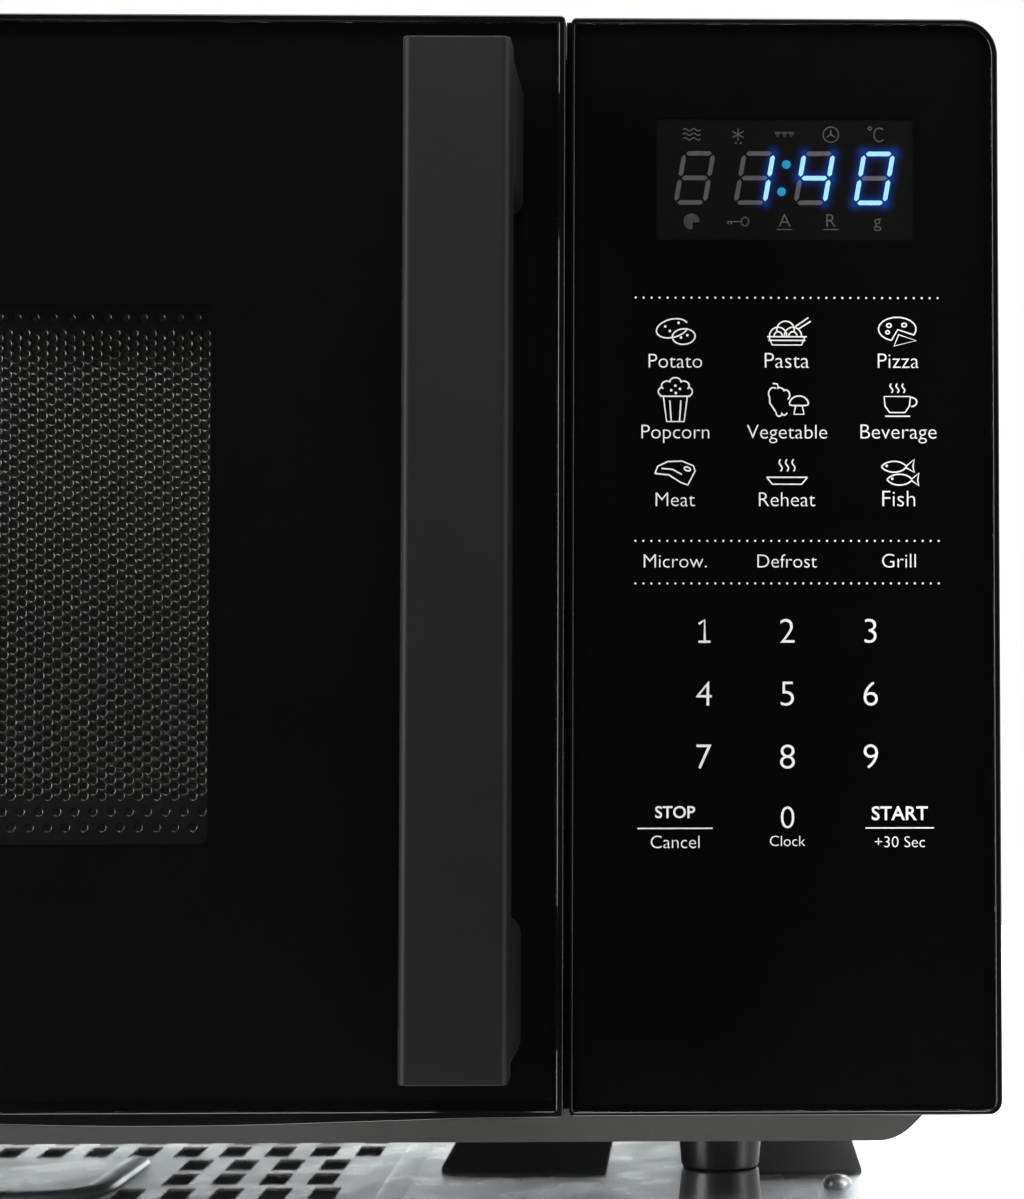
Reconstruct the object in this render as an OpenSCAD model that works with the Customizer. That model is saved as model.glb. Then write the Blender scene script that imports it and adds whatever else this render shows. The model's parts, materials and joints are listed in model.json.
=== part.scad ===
// Free-standing microwave oven with grill, about 20 litres, touch panel on the right.
// Origin: on the surface it stands on, at the centre of its outline. Front faces -Y.

/* [Body] */
// Height of the door and control panel top edge
front_top = 257.5; // [256.5:0.5:260]
// Height of the door and control panel bottom edge
front_bottom = 19.8; // [19:0.2:20.6]
// Overall width across door and panel
body_w = 440; // [438:1:444]
// Height of the feet under the base pan
foot_h = 10.8; // [10.4:0.1:11.2]
// Front surface of the dark front plate
plate_y = -132; // [-132.4:0.1:-131.8]
// Outer surface of the rear panel
rear_y = 192; // [191:1:196]
// Thickness of the sheet steel covers
sheet_t = 0.8; // [0.6:0.1:1]
// Size of the 45 degree bevel along the lower body edges
bevel = 18.6; // [17:0.2:19]

/* [Cavity] */
// Inner width of the oven cavity
cavity_w = 306; // [300:1:308]
// Inner height of the oven cavity
cavity_h = 208; // [206:1:208]
// Centre of the cavity and its window, left of the middle
cavity_x = -45; // [-46:0.5:-44]
// Height of the cavity floor
cavity_z = 33; // [32.5:0.5:33.5]
// Inner face of the cavity's back wall
cavity_end = 176; // [175:0.5:177]

/* [Door and handle] */
// Left edge of the control panel
panel_x = 127; // [126.5:0.1:127.5]
// Gap between door and control panel
door_gap = 1.2; // [1.1:0.1:1.4]
// Front surface of the door glass
door_y = -164; // [-164.4:0.1:-163.8]
// Front surface of the control panel
panel_y = -162; // [-162.2:0.1:-161.8]
// Distance from door glass to the front of the handle
handle_d = 38; // [36:1:42]
// Width of the handle bar
handle_w = 22; // [20:0.5:24]
// Width of the visible window screen
screen_w = 182; // [170:1:186]

/* [Turntable] */
// Radius of the glass turntable
plate_r = 122.5; // [118:0.5:124]
// Radius of the circle on which the rollers run
track_r = 91.5; // [90:0.5:93]
// Radius of a roller
roller_r = 7.5; // [7.4:0.05:7.55]

/* [Hidden] */
$fn = 64;

eps = 0.01;
half = body_w / 2;
wrap_half = half - 2;
wrap_top = front_top - 2.5;
plate_t = 1.2;
plate_back = plate_y + plate_t;
pan_bottom = foot_h;
body_bottom = foot_h - sheet_t;
bevel_r = 10.6;
cavity_l = cavity_x - cavity_w / 2;
cavity_r = cavity_x + cavity_w / 2;
cavity_top = cavity_z + cavity_h;
cavity_corner = 8;
wall = 1;
door_right = panel_x - door_gap;
rim = 1.5;
glass_t = 3.2;
glass_back = door_y + glass_t;
ledge_back = glass_back + 2.4;
door_rear = plate_y - 0.8;
choke_front = door_y + 15;
choke_end = choke_front + 13;
cover_front = choke_end + 0.1;
hinge = [-half + 9, plate_y - 14];
arm_w = 11;
arm_t = 2;
arm_z_low = 31;
arm_z_high = 244;
pin_r = 3;
slot_x0 = cavity_r + 4.5;
slot_x1 = cavity_r + 14.2;
hook_x = cavity_r + 7;
hook_t = 3;
hook_z = [60, 204];
plungers = [[-122, 208], [-122, 67.4], [-122, 60.8]];
handle_x = door_right - 9.4 - handle_w;
handle_z0 = 31.6;
handle_z1 = 244.2;
handle_front = door_y - handle_d;
bar_t = 12;
post_z = [[32.5, 63], [213, 243.5]];
glass_bottom = cavity_z + 2 * roller_r + 0.6;
spin = [cavity_x, (plate_back + cavity_end) / 2];
feet = [[159.7, -103], [-159.7, -103], [-159.7, 160], [159.7, 160]];
foot_r = 9.9;
pan_screws = [for (x = [-189, 189], y = [-62, 120]) [x, y]];
slot_size = [6.6, 17.8];
slot_pitch = [11.9, 22.2];
window_z = [60, 214];
gap_lip = 0.9;
display_x = (panel_x + half) / 2;
display_z = 221.8;
display_w = 56.4;
display_h = 26.8;
window_half = screen_w / 2 + 9;
grill_x = [for (i = [0:3]) cavity_x - 75 + 50 * i];
grill_z = cavity_top - 7;
tube_r = 3.2;
magnetron = [20, 178];
guide_x = cavity_r + wall;
guide_out = guide_x + 24;
fan = [163, 168];
core_x = 120;

// ---- outline helpers -------------------------------------------------------------------

function arc(c, r, a0, a1, n = 8) =
    [for (i = [0:n]) let (a = a0 + (a1 - a0) * i / n) c + r * [cos(a), sin(a)]];

// Rectangle with its own corner radius at each corner: lower left, lower right, upper right, upper left
function round_box(x0, z0, x1, z1, r, n = 8) = concat(
    arc([x0 + r[0], z0 + r[0]], r[0], 180, 270, n),
    arc([x1 - r[1], z0 + r[1]], r[1], 270, 360, n),
    arc([x1 - r[2], z1 - r[2]], r[2], 0, 90, n),
    arc([x0 + r[3], z1 - r[3]], r[3], 90, 180, n));

// Right half of the body section: bottom fillet, bevel, side fillet, top corner
function body_right(d) =
    let (h = wrap_half - d, b = body_bottom + d, t = wrap_top - d, r = bevel_r - d,
        c = bevel - d * (2 - sqrt(2)), k = r * tan(22.5), top_r = 3 - d)
    concat(arc([h - c - k, b + r], r, -90, -45, 5), arc([h - r, b + c + k], r, -45, 0, 5),
        arc([h - top_r, t - top_r], top_r, 0, 90, 6));

// Body section set in from the outside by d
function body_outline(d) =
    let (side = body_right(d), n = len(side) - 1)
    concat(side, [for (i = [0:n]) [-side[n - i][0], side[n - i][1]]]);

// The shallow finger lip under the door's lower edge
function lip(x) = abs(x - 40) < 84 ? 1.6 * pow(cos(90 * (x - 40) / 84), 2) : 0;

// Outline of the door set in by d; the lip fades out with the inset
function door_outline(d, keep_lip = true) =
    let (x0 = -half + d, x1 = door_right - d, z0 = front_bottom + d, z1 = front_top - d,
        a = max(3 - d, 0.4), b = max(1.2 - d, 0.4), t = max(8 - d, 0.6))
    concat(arc([x0 + a, z0 + a], a, 180, 270),
        keep_lip ? [for (x = [-42:7:119]) [x, z0 - lip(x)]] : [],
        arc([x1 - b, z0 + b], b, 270, 360), arc([x1 - b, z1 - b], b, 0, 90),
        arc([x0 + t, z1 - t], t, 90, 180, 14));

// Extrude an X-Z outline from y0 to y1
module slab(y0, y1) {
    translate([0, y1, 0]) rotate([90, 0, 0]) linear_extrude(y1 - y0) children();
}

module block(x, y, z) {
    translate([x[0], y[0], z[0]]) cube([x[1] - x[0], y[1] - y[0], z[1] - z[0]]);
}

// Cylinders along the three axes, from one coordinate to another
module rod_x(x, y, z, r) {
    translate([x[0], y, z]) rotate([0, 90, 0]) cylinder(h = x[1] - x[0], r = r);
}

module rod_y(x, y, z, r) {
    translate([x, y[0], z]) rotate([-90, 0, 0]) cylinder(h = y[1] - y[0], r = r);
}

module rod_z(x, y, z, r) {
    translate([x, y, z[0]]) cylinder(h = z[1] - z[0], r = r);
}

module cavity_profile(d) {
    polygon(round_box(cavity_l - d, cavity_z - d, cavity_r + d, cavity_top + d,
        [for (i = [0:3]) cavity_corner + d]));
}

// ---- cabinet ---------------------------------------------------------------------------

module front_plate() {
    color("dimgray") difference() {
        slab(plate_y, plate_back) polygon(body_outline(0));
        slab(plate_y - 1, plate_back + 1) cavity_profile(0);
        slab(plate_y - 1, plate_back + 1) polygon(round_box(134, 36, 212, 243, [4, 4, 4, 4]));
        for (z = hook_z) block([slot_x0, slot_x1], [plate_y - 1, plate_back + 1], [z - 6, z + 14]);
        for (z = [arm_z_low, arm_z_high])
            block([hinge[0] - 6, hinge[0] + 6], [plate_y - 1, plate_back + 1], [z - 0.3, z + arm_t + 0.3]);
    }
}

// Flat sheet under or over the cavity, between the rounded side sheets
module cavity_sheet(z0) {
    block([cavity_l + cavity_corner, cavity_r - cavity_corner], [plate_back, cavity_end], [z0, z0 + wall]);
}

module cavity_floor() {
    color("lightgray") difference() {
        cavity_sheet(cavity_z - wall);
        rod_z(spin[0], spin[1], [cavity_z - wall - 1, cavity_z + 1], 8);
    }
}

module cavity_roof() {
    color("lightgray") cavity_sheet(cavity_top);
}

// Side sheet with both rounded corners, from x0 to x1
module cavity_side(x0, x1) {
    slab(plate_back, cavity_end) intersection() {
        difference() {
            cavity_profile(wall);
            cavity_profile(0);
        }
        translate([x0, cavity_z - wall]) square([x1 - x0, cavity_h + 2 * wall]);
    }
}

module cavity_side_left() {
    color("lightgray") cavity_side(cavity_l - wall, cavity_l + cavity_corner);
}

module cavity_side_right() {
    color("lightgray") difference() {
        cavity_side(cavity_r - cavity_corner, cavity_r + wall);
        block([cavity_r - 1, cavity_r + wall + 1], [-18, 60], [150, 206]);
        for (i = [0:4], j = [0:4])
            rod_x([cavity_r - 1, cavity_r + wall + 1], 65 + 5 * i, 218 + 3.5 * j, 1.4);
    }
}

module cavity_back() {
    color("lightgray") difference() {
        slab(cavity_end, cavity_end + wall) cavity_profile(wall);
        for (x = [grill_x[0], grill_x[3]])
            rod_y(x, [cavity_end - 1, cavity_end + 2], grill_z, tube_r + 0.4);
        for (i = [0:7], j = [0:4])
            rod_y(cavity_l + 30 + 6 * i, [cavity_end - 1, cavity_end + 2], 190 + 6 * j, 1.6);
    }
}

// Air slot of the base pan, in column i and row j of the field that starts at x, y
module pan_slot(x, y, i, j) {
    translate([x + slot_pitch[0] * i, y + slot_pitch[1] * j, 0]) cube([slot_size[0], slot_size[1], 20]);
}

module base_pan() {
    color("silver") difference() {
        slab(plate_back, rear_y - sheet_t) difference() {
            polygon(body_outline(sheet_t));
            polygon(body_outline(2 * sheet_t));
        }
        block([-half, half], [plate_back - 1, rear_y], [46, front_top]);
        for (i = [0:3], j = [0:1]) pan_slot(21.7, -61.4, i, j);
        for (i = [0:4], j = [0:1]) pan_slot(12.8, -105.8, i, j);
        for (i = [0:14], j = [0:1]) pan_slot(64, -17, -i, j);
        for (i = [0:6], j = [0:1]) pan_slot(100, 62, i, j);
        for (p = feet) rod_z(p[0], p[1], [0, 20], 3.2);
        for (p = pan_screws) rod_z(p[0], p[1], [0, 20], 1.9);
    }
}

module cabinet_wrap() {
    color("dimgray") difference() {
        slab(plate_back, rear_y - sheet_t) difference() {
            polygon(body_outline(0));
            polygon(body_outline(sheet_t));
        }
        block([-half, half], [plate_back - 1, rear_y], [0, 35]);
        for (side = [-1, 1], i = [0:9], j = [0:1])
            block([side * wrap_half - 3, side * wrap_half + 3], [60 + 10 * i, 64 + 10 * i],
                [88 + 40 * j, 118 + 40 * j]);
        for (i = [0:7]) block([150 + 7 * i, 153 + 7 * i], [-90, -50], [wrap_top - 3, wrap_top + 3]);
    }
}

module rear_panel() {
    color("silver") difference() {
        slab(rear_y - sheet_t, rear_y) polygon(body_outline(0));
        for (i = [0:9], j = [0:2])
            block([122 + 8.5 * i, 126.5 + 8.5 * i], [rear_y - 2, rear_y + 1], [128 + 28 * j, 150 + 28 * j]);
        for (i = [0:11], j = [0:1])
            block([-150 + 9 * i, -145.5 + 9 * i], [rear_y - 2, rear_y + 1], [190 + 20 * j, 204 + 20 * j]);
        rod_y(185, [rear_y - 2, rear_y + 1], 58, 6.2);
        for (p = rear_screw_places()) rod_y(p[0], [rear_y - 2, rear_y + 1], p[1], 1.9);
    }
}

function rear_screw_places() = [for (x = [-205, 0, 205]) [x, 247], [-209, 130], [209, 130],
    for (x = [-180, 0, 170]) [x, 17]];

module rear_spacers() {
    color("black") for (x = [-120, 120]) translate([x, rear_y, 228]) rotate([-90, 0, 0])
        rotate_extrude() polygon([[0, 0], [9, 0], [9, 1.5], [6.5, 3], [5.6, 9], [4.6, 10], [0, 10]]);
}

// Tapered round foot with a stud that snaps into the pan
module foot(i) {
    color("black") translate([feet[i - 1][0], feet[i - 1][1], 0]) rotate_extrude()
        polygon([[0, 0], [foot_r - 1.5, 0], [foot_r - 0.7, 0.8], [foot_r, pan_bottom], [3, pan_bottom],
            [3, pan_bottom + 3], [0, pan_bottom + 3]]);
}

module screw_down(head_r, shank_r, head_h, shank_h) {
    rotate_extrude() polygon([[0, 0], [head_r - 0.6, 0], [head_r, head_h - 0.4], [head_r, head_h],
        [shank_r, head_h], [shank_r, head_h + shank_h], [0, head_h + shank_h]]);
}

// Four screws under the base pan and eight in the rear panel
module case_screws() {
    color("gainsboro") {
        for (p = pan_screws) translate([p[0], p[1], pan_bottom - 2]) screw_down(3.6, 1.7, 2, 7);
        for (p = rear_screw_places())
            translate([p[0], rear_y + 2, p[1]]) rotate([90, 0, 0]) screw_down(3.6, 1.7, 2, 4);
    }
}

module cord_gland() {
    color("black") translate([185, rear_y, 58]) rotate([-90, 0, 0]) rotate_extrude()
        polygon([[3.6, -6], [6, -6], [6, 0], [9, 0], [8.4, 2.5], [6.2, 8], [3.6, 8]]);
}

// Steel hinge arm that reaches through the front plate and carries the door on a pin
module hinge_bracket(z, pin_up) {
    color("silver") {
        difference() {
            union() {
                rod_z(hinge[0], hinge[1], [z, z + arm_t], arm_w / 2);
                block([hinge[0] - arm_w / 2, hinge[0] + arm_w / 2], [hinge[1], plate_back], [z, z + arm_t]);
                block([hinge[0] - 4.6, cavity_l - wall - 0.5], [plate_back, plate_back + arm_t],
                    [pin_up ? z : z - 24, pin_up ? z + 26 : z + arm_t]);
                rod_z(hinge[0], hinge[1], pin_up ? [z, z + 11] : [z - 9, z + arm_t], pin_r);
            }
            rod_y(hinge[0] + 4, [plate_back - 1, plate_back + 4], pin_up ? z + 18 : z - 16, 1.6);
        }
    }
}

// Plastic interlock support behind the front plate, with a channel for each hook
module latch_bracket() {
    color("white") difference() {
        union() {
            block([cavity_r + 15, cavity_r + 17], [plate_back, -96], [46, 226]);
            for (z = hook_z) {
                block([cavity_r + 3, cavity_r + 15], [plate_back, -104], [z - 7.5, z - 5]);
                block([cavity_r + 3, cavity_r + 15], [plate_back, -104], [z + 15, z + 17]);
                block([cavity_r + 1.5, cavity_r + 3], [plate_back, -104], [z - 7.5, z + 17]);
            }
        }
        for (p = plungers) rod_x([cavity_r + 14, cavity_r + 18], p[0], p[1], 1.8);
    }
}

module interlock_switches() {
    color("black") for (p = plungers) difference() {
        block([cavity_r + 17, cavity_r + 27], [p[0] - 6, p[0] + 14], [p[1] - 3.2, p[1] + 3.2]);
        rod_x([cavity_r + 16, cavity_r + 22], p[0], p[1], 1.25);
        rod_x([cavity_r + 16, cavity_r + 28], p[0] + 10, p[1], 1.1);
    }
}

module switch_plunger(i) {
    color("red") rod_x([cavity_r + 12.9, cavity_r + 20.5], plungers[i - 1][0], plungers[i - 1][1], 1.2);
}

// ---- control panel ---------------------------------------------------------------------

function panel_outline(d, r = [1, 3, 8, 1.2]) = round_box(panel_x + d, front_bottom + d, half - d,
    front_top - d, [for (a = r) max(a - d, 0.4)], 14);

function panel_glass_outline() = round_box(panel_x + 0.8, front_bottom + 1, half - 1.4,
    front_top - 1.2, [0.6, 2, 6.8, 0.8], 14);

// Block of the display's outline set in by d, between two depths behind the panel's front
module display_block(y0, y1, d) {
    block([display_x - display_w / 2 + d, display_x + display_w / 2 - d], [panel_y + y0, panel_y + y1],
        [display_z - display_h / 2 + d, display_z + display_h / 2 - d]);
}

module control_panel_frame() {
    color("black") {
        difference() {
            slab(panel_y, plate_y) polygon(panel_outline(0));
            slab(panel_y - 1, panel_y + 2.2) polygon(panel_glass_outline());
            slab(panel_y + 4.4, plate_y + 1) polygon(panel_outline(2.2));
            display_block(-1, 6, -0.5);
        }
        block([cavity_r + 15.8, panel_x + 1], [plate_y - 1.1, plate_y], [22, front_top - 3]);
        block([panel_x - gap_lip, panel_x + 1], [panel_y + 3.5, panel_y + 5.5],
            [front_bottom + 1.2, front_top - 0.3]);
    }
}

module control_glass() {
    color("black") slab(panel_y, panel_y + 2.1) polygon(panel_glass_outline());
}

module display_module() {
    color("darkslategray") {
        display_block(2.4, 5.5, 0);
        display_block(5.5, 7, -4);
    }
}

// Main circuit board with its low voltage transformer, buzzer, capacitors, socket and relays
module control_board() {
    y = -118;
    color("green") block([138, 210], [y, y + 1.6], [40, 238]);
    color("black") {
        block([144, 176], [y + 1.6, y + 26], [190, 226]);
        rod_y(195, [y + 1.6, y + 11], 205, 6);
        for (z = [164, 180]) rod_y(150, [y + 1.6, y + 18], z, 5);
        block([150, 200], [y - 9, y], [214, 232]);
    }
    color("white") for (z = [60, 92, 124]) block([152, 168], [y + 1.6, y + 18], [z, z + 26]);
}

// ---- microwave generator ---------------------------------------------------------------

module waveguide() {
    color("silver") difference() {
        block([guide_x, guide_out], [-20, 62], [148, 208]);
        block([guide_x - 1, guide_out - 1], [-19, 61], [149, 207]);
        rod_x([guide_out - 2, guide_out + 1], magnetron[0], magnetron[1], 14);
    }
}

module waveguide_cover() {
    color("tan") slab_yz(cavity_r - 0.6, cavity_r, -24, 66, 144, 212);
}

// Thin sheet against a side wall with notched corners
module slab_yz(x0, x1, y0, y1, z0, z1) {
    difference() {
        block([x0, x1], [y0, y1], [z0, z1]);
        for (y = [y0, y1 - 5], z = [z0, z1 - 5])
            block([x0 - 1, x1 + 1], [y - eps, y + 5 + eps], [z - eps, z + 5 + eps]);
    }
}

module magnetron_yoke() {
    x = guide_out;
    color("silver") difference() {
        union() {
            block([x, x + 1.6], [-22, 62], [138, 218]);
            block([x + 1.6, x + 52], [-16, 56], [212, 213.6]);
            block([x + 1.6, x + 52], [-16, 56], [142.4, 144]);
            block([x + 50.4, x + 52], [-16, 56], [144, 212]);
        }
        rod_x([x - 1, x + 3], magnetron[0], magnetron[1], 12);
        rod_x([x + 49, x + 53], magnetron[0], magnetron[1], 9);
    }
}

module magnetron_magnets() {
    color("dimgray") for (x = [guide_out + 2, guide_out + 40]) difference() {
        rod_x([x, x + 10], magnetron[0], magnetron[1], 26);
        rod_x([x - 1, x + 11], magnetron[0], magnetron[1], 9.5);
    }
}

module magnetron_fins() {
    color("lightgray") for (i = [0:5]) difference() {
        block([guide_out + 14 + 4.6 * i, guide_out + 15 + 4.6 * i], [-15, 55], [144.6, 211.4]);
        rod_x([guide_out + 10, guide_out + 45], magnetron[0], magnetron[1], 19.1);
    }
}

// Anode block with its antenna on the waveguide side and the filter box on the other
module magnetron_core() {
    color("orange") rod_x([guide_out + 12.2, guide_out + 39.8], magnetron[0], magnetron[1], 19);
    color("silver") {
        rod_x([guide_out + 39.8, guide_out + 52], magnetron[0], magnetron[1], 8.5);
        block([guide_out + 52, guide_out + 72], [0, 40], [158, 198]);
    }
    color("pink") rod_x([guide_out, guide_out + 12.2], magnetron[0], magnetron[1], 8.5);
    color("silver") translate([guide_out - 16, magnetron[0], magnetron[1]]) rotate([0, 90, 0])
        rotate_extrude() polygon([[0, 0], [6.5, 0], [7.5, 1], [7.5, 13], [8.5, 16], [0, 16]]);
}

module transformer_core() {
    color("dimgray") difference() {
        block([core_x, core_x + 75], [58, 102], [14, 77]);
        for (x = [core_x + 12.5, core_x + 49]) block([x, x + 13.5], [57, 103], [27, 64]);
    }
    color("silver") block([core_x, core_x + 73], [52, 108], [12, 14]);
}

module transformer_windings() {
    color("chocolate") for (z = [28, 46.5]) difference() {
        slab_z(z, z + 16.5) polygon(round_box(core_x + 13, 46, core_x + 62, 114, [12, 12, 12, 12]));
        block([core_x + 25.7, core_x + 49.3], [57.7, 102.3], [z - 1, z + 18]);
    }
}

module slab_z(z0, z1) {
    translate([0, 0, z0]) linear_extrude(z1 - z0) children();
}

module oval_can(d) {
    polygon(round_box(125 - d, 15 - d, 179 + d, 49 + d, [for (i = [0:3]) 16.9 + d], 10));
}

module hv_capacitor() {
    color("silver") slab(-68, 16) oval_can(0);
    color("black") for (x = [143, 161]) rod_y(x, [-72, -68], 32, 5);
    color("silver") for (x = [143, 161]) block([x - 3, x + 3], [-82, -72], [31.6, 32.4]);
}

module capacitor_clamp() {
    color("silver") {
        slab(-40, -22) difference() {
            oval_can(1);
            oval_can(0.05);
        }
        block([130, 174], [-40, -22], [11.8, 14.1]);
    }
}

// ---- cooling fan, supply filter, lamp, thermal cut-outs ----------------------------------

module fan_shroud() {
    color("white") difference() {
        union() {
            block([cavity_r + 2, 214], [150, 151.6], [102, 236]);
            rod_y(fan[0], [150, 178], fan[1], 48);
        }
        difference() {
            rod_y(fan[0], [149, 179], fan[1], 46);
            for (a = [0, 90]) translate([fan[0], 150, fan[1]]) rotate([0, a, 0])
                block([-47, 47], [0, 3], [-3, 3]);
        }
        rod_y(fan[0], [149, 154], fan[1], 4);
    }
}

module fan_motor() {
    color("dimgray") difference() {
        block([fan[0] - 25, fan[0] + 25], [126, 146], [fan[1] - 27, fan[1] + 23]);
        rod_y(fan[0], [125, 147], fan[1], 11);
    }
    color("chocolate") block([fan[0] - 16, fan[0] + 16], [119, 148.5], [fan[1] - 43, fan[1] - 27]);
}

// Rotor, shaft and five-bladed impeller in one piece
module fan_blade() {
    color("white") {
        rod_y(fan[0], [121, 172], fan[1], 2.4);
        rod_y(fan[0], [127, 145], fan[1], 10.6);
        rod_y(fan[0], [158, 172], fan[1], 11);
        for (i = [0:4]) translate([fan[0], 165, fan[1]]) rotate([0, 72 * i, 0])
            translate([10, 0, 0]) rotate([32, 0, 0]) block([0, 33.5], [-0.8, 0.8], [-11, 11]);
    }
}

module noise_filter() {
    color("green") block([120, 200], [124, 176], [84, 85.6]);
    color("chocolate") translate([140, 150, 85.6]) rotate_extrude() translate([8, 0])
        square([6, 9]);
    color("gold") block([160, 178], [134, 144], [85.6, 98]);
    color("silver") rod_x([160, 190], 164, 90, 3);
    color("black") for (x = [158, 190]) block([x, x + 4], [160, 168], [85.6, 95]);
}

module cavity_lamp() {
    color("white") translate([cavity_r + 4, 75, 226]) rotate([0, 90, 0]) rotate_extrude()
        polygon([[0, 0], [5, 1], [8, 4], [9, 9], [8, 14], [5.5, 18], [5.5, 22], [0, 22]]);
}

module lamp_holder() {
    color("silver") {
        rod_x([cavity_r + 26, cavity_r + 44], 75, 226, 9);
        block([cavity_r + 1, cavity_r + 44], [86, 87.2], [212, 240]);
        block([cavity_r + 26, cavity_r + 28], [75, 87.2], [218, 234]);
    }
}

module thermal_cutouts() {
    color("white") {
        for (y = [40, 120]) rod_z(60, y, [cavity_top + wall, cavity_top + wall + 8], 8);
    }
    color("silver") {
        for (y = [40, 120]) block([48, 72], [y - 4, y + 4], [cavity_top + wall + 8, cavity_top + wall + 9]);
    }
}

// ---- cavity fittings -------------------------------------------------------------------

// Sheathed heater bent into three hairpins under the cavity roof
module grill_element() {
    near = -40;
    far = 110;
    r = (grill_x[1] - grill_x[0]) / 2;
    color("dimgray") {
        for (x = [grill_x[0], grill_x[3]]) rod_y(x, [near, cavity_end + 14], grill_z, tube_r);
        for (x = [grill_x[1], grill_x[2]]) rod_y(x, [near, far], grill_z, tube_r);
        for (i = [0, 2]) translate([grill_x[i] + r, near, grill_z]) rotate([0, 0, 180])
            rotate_extrude(angle = 180) translate([r, 0]) circle(tube_r);
        translate([grill_x[1] + r, far, grill_z]) rotate_extrude(angle = 180)
            translate([r, 0]) circle(tube_r);
    }
}

module grill_holders() {
    color("white") for (x = [grill_x[0], grill_x[3]]) difference() {
        rod_y(x, [cavity_end + wall, cavity_end + wall + 9], grill_z, 6);
        rod_y(x, [cavity_end, cavity_end + 12], grill_z, tube_r + 0.05);
    }
    color("silver") for (x = grill_x) difference() {
        block([x - 4.6, x + 4.6], [28, 33], [grill_z - 4.6, cavity_top]);
        rod_y(x, [27, 34], grill_z, tube_r + 0.05);
    }
}

module turntable_motor() {
    color("silver") difference() {
        union() {
            rod_z(spin[0], spin[1], [14, 31.5], 24.5);
            for (s = [-1, 1]) block([spin[0] + s * 29 - 6, spin[0] + s * 29 + 6],
                [spin[1] - 5, spin[1] + 5], [30.5, 31.5]);
        }
        rod_z(spin[0], spin[1], [18, 33], 3.56);
        for (s = [-1, 1]) rod_z(spin[0] + s * 30.5, spin[1], [29, 33], 1.8);
    }
}

// Motor shaft with the three-armed coupler that drives the glass
module drive_coupler() {
    color("white") translate([spin[0], spin[1], 0]) {
        rod_z(0, 0, [20, 36], 3.5);
        rod_z(0, 0, [36, 45], 9);
        for (i = [0:2]) rotate([0, 0, 120 * i]) {
            block([0, 21], [-3, 3], [39, glass_bottom - 0.3]);
            rod_z(21, 0, [39, glass_bottom - 0.3], 3);
        }
    }
}

module glass_turntable() {
    b = glass_bottom;
    color("lightblue", 0.4) translate([spin[0], spin[1], 0]) rotate_extrude($fn = 96) polygon(concat(
        [[0, b], [26.5, b], [26.5, b - 3.5], [29, b - 3.5], [29, b], [104, b]],
        arc([104, b + 14], 14, -90, -38, 6), [[plate_r - 1.6, b + 11.2], [plate_r, b + 11.6]],
        [[plate_r - 0.4, b + 13.4], [plate_r - 2.4, b + 13.6]], arc([104, b + 14], 9.6, -38, -90, 6),
        [[0, b + 4.4]]));
}

module roller_ring() {
    pin_z = cavity_z + roller_r + 0.3;
    color("white") translate([spin[0], spin[1], 0]) {
        difference() {
            rod_z(0, 0, [pin_z - 2.8, pin_z + 2.8], track_r - 5);
            rod_z(0, 0, [pin_z - 4, pin_z + 4], track_r - 11);
        }
        for (i = [0:2]) rotate([0, 0, 120 * i + 30]) {
            rod_x([track_r - 7, track_r + 6.5], 0, pin_z, 2);
            rod_x([track_r + 4.4, track_r + 6.5], 0, pin_z, 3.2);
        }
    }
}

module roller(i) {
    color("ivory") translate([spin[0], spin[1], 0]) rotate([0, 0, 120 * (i - 1) + 30])
        translate([track_r - 3.5, 0, cavity_z + roller_r + 0.3]) rotate([0, 90, 0]) rotate_extrude()
            polygon([[2.06, 0], [roller_r - 0.8, 0], [roller_r, 0.8], [roller_r, 6.2],
                [roller_r - 0.8, 7], [2.06, 7]]);
}

// ---- door ------------------------------------------------------------------------------

// Space that each hinge arm sweeps inside the door, open to the left and rear
module hinge_pockets() {
    for (z = [arm_z_low, arm_z_high])
        block([-half - 1, hinge[0] + 6.5], [hinge[1] - 8.5, plate_y], [z - 0.9, z + arm_t + 0.9]);
}

// Strip by the hinge that stays clear of the front plate while the door swings
module hinge_side_relief() {
    block([-half - 1, hinge[0]], [plate_y - 6.6, plate_y + 1], [0, front_top + 1]);
}

module door_frame() {
    window = round_box(cavity_x - window_half, window_z[0], cavity_x + window_half, window_z[1],
        [6, 6, 6, 6]);
    color("black") difference() {
        union() {
            difference() {
                slab(door_y, plate_y - 2) polygon(door_outline(0));
                slab(door_y - 1, glass_back) polygon(door_outline(rim, false));
                slab(ledge_back, plate_y) polygon(door_outline(2.2, false));
                slab(glass_back - 1, ledge_back + 1) polygon(window);
            }
            for (z = [[25, arm_z_low - 0.9], [arm_z_low + arm_t + 0.9, 46], [231, arm_z_high - 0.9],
                [arm_z_high + arm_t + 0.9, 252]])
                block([hinge[0] - 6.8, hinge[0] + 6], [ledge_back, hinge[1] + 6], z);
        }
        hinge_pockets();
        hinge_side_relief();
        rod_z(hinge[0], hinge[1], [arm_z_low - 1, arm_z_low + 12], pin_r + 0.06);
        rod_z(hinge[0], hinge[1], [arm_z_high - 10, arm_z_high + 3], pin_r + 0.06);
        for (p = post_z) rod_y(handle_x + handle_w / 2, [glass_back - 1, ledge_back + 1],
            (p[0] + p[1]) / 2, 3);
    }
}

module door_glass() {
    color("black", 0.8) difference() {
        slab(door_y, glass_back - 0.2) polygon(door_outline(rim + 0.1, false));
        for (p = post_z) rod_y(handle_x + handle_w / 2, [door_y - 1, glass_back + 1],
            (p[0] + p[1]) / 2, 3);
    }
}

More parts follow.
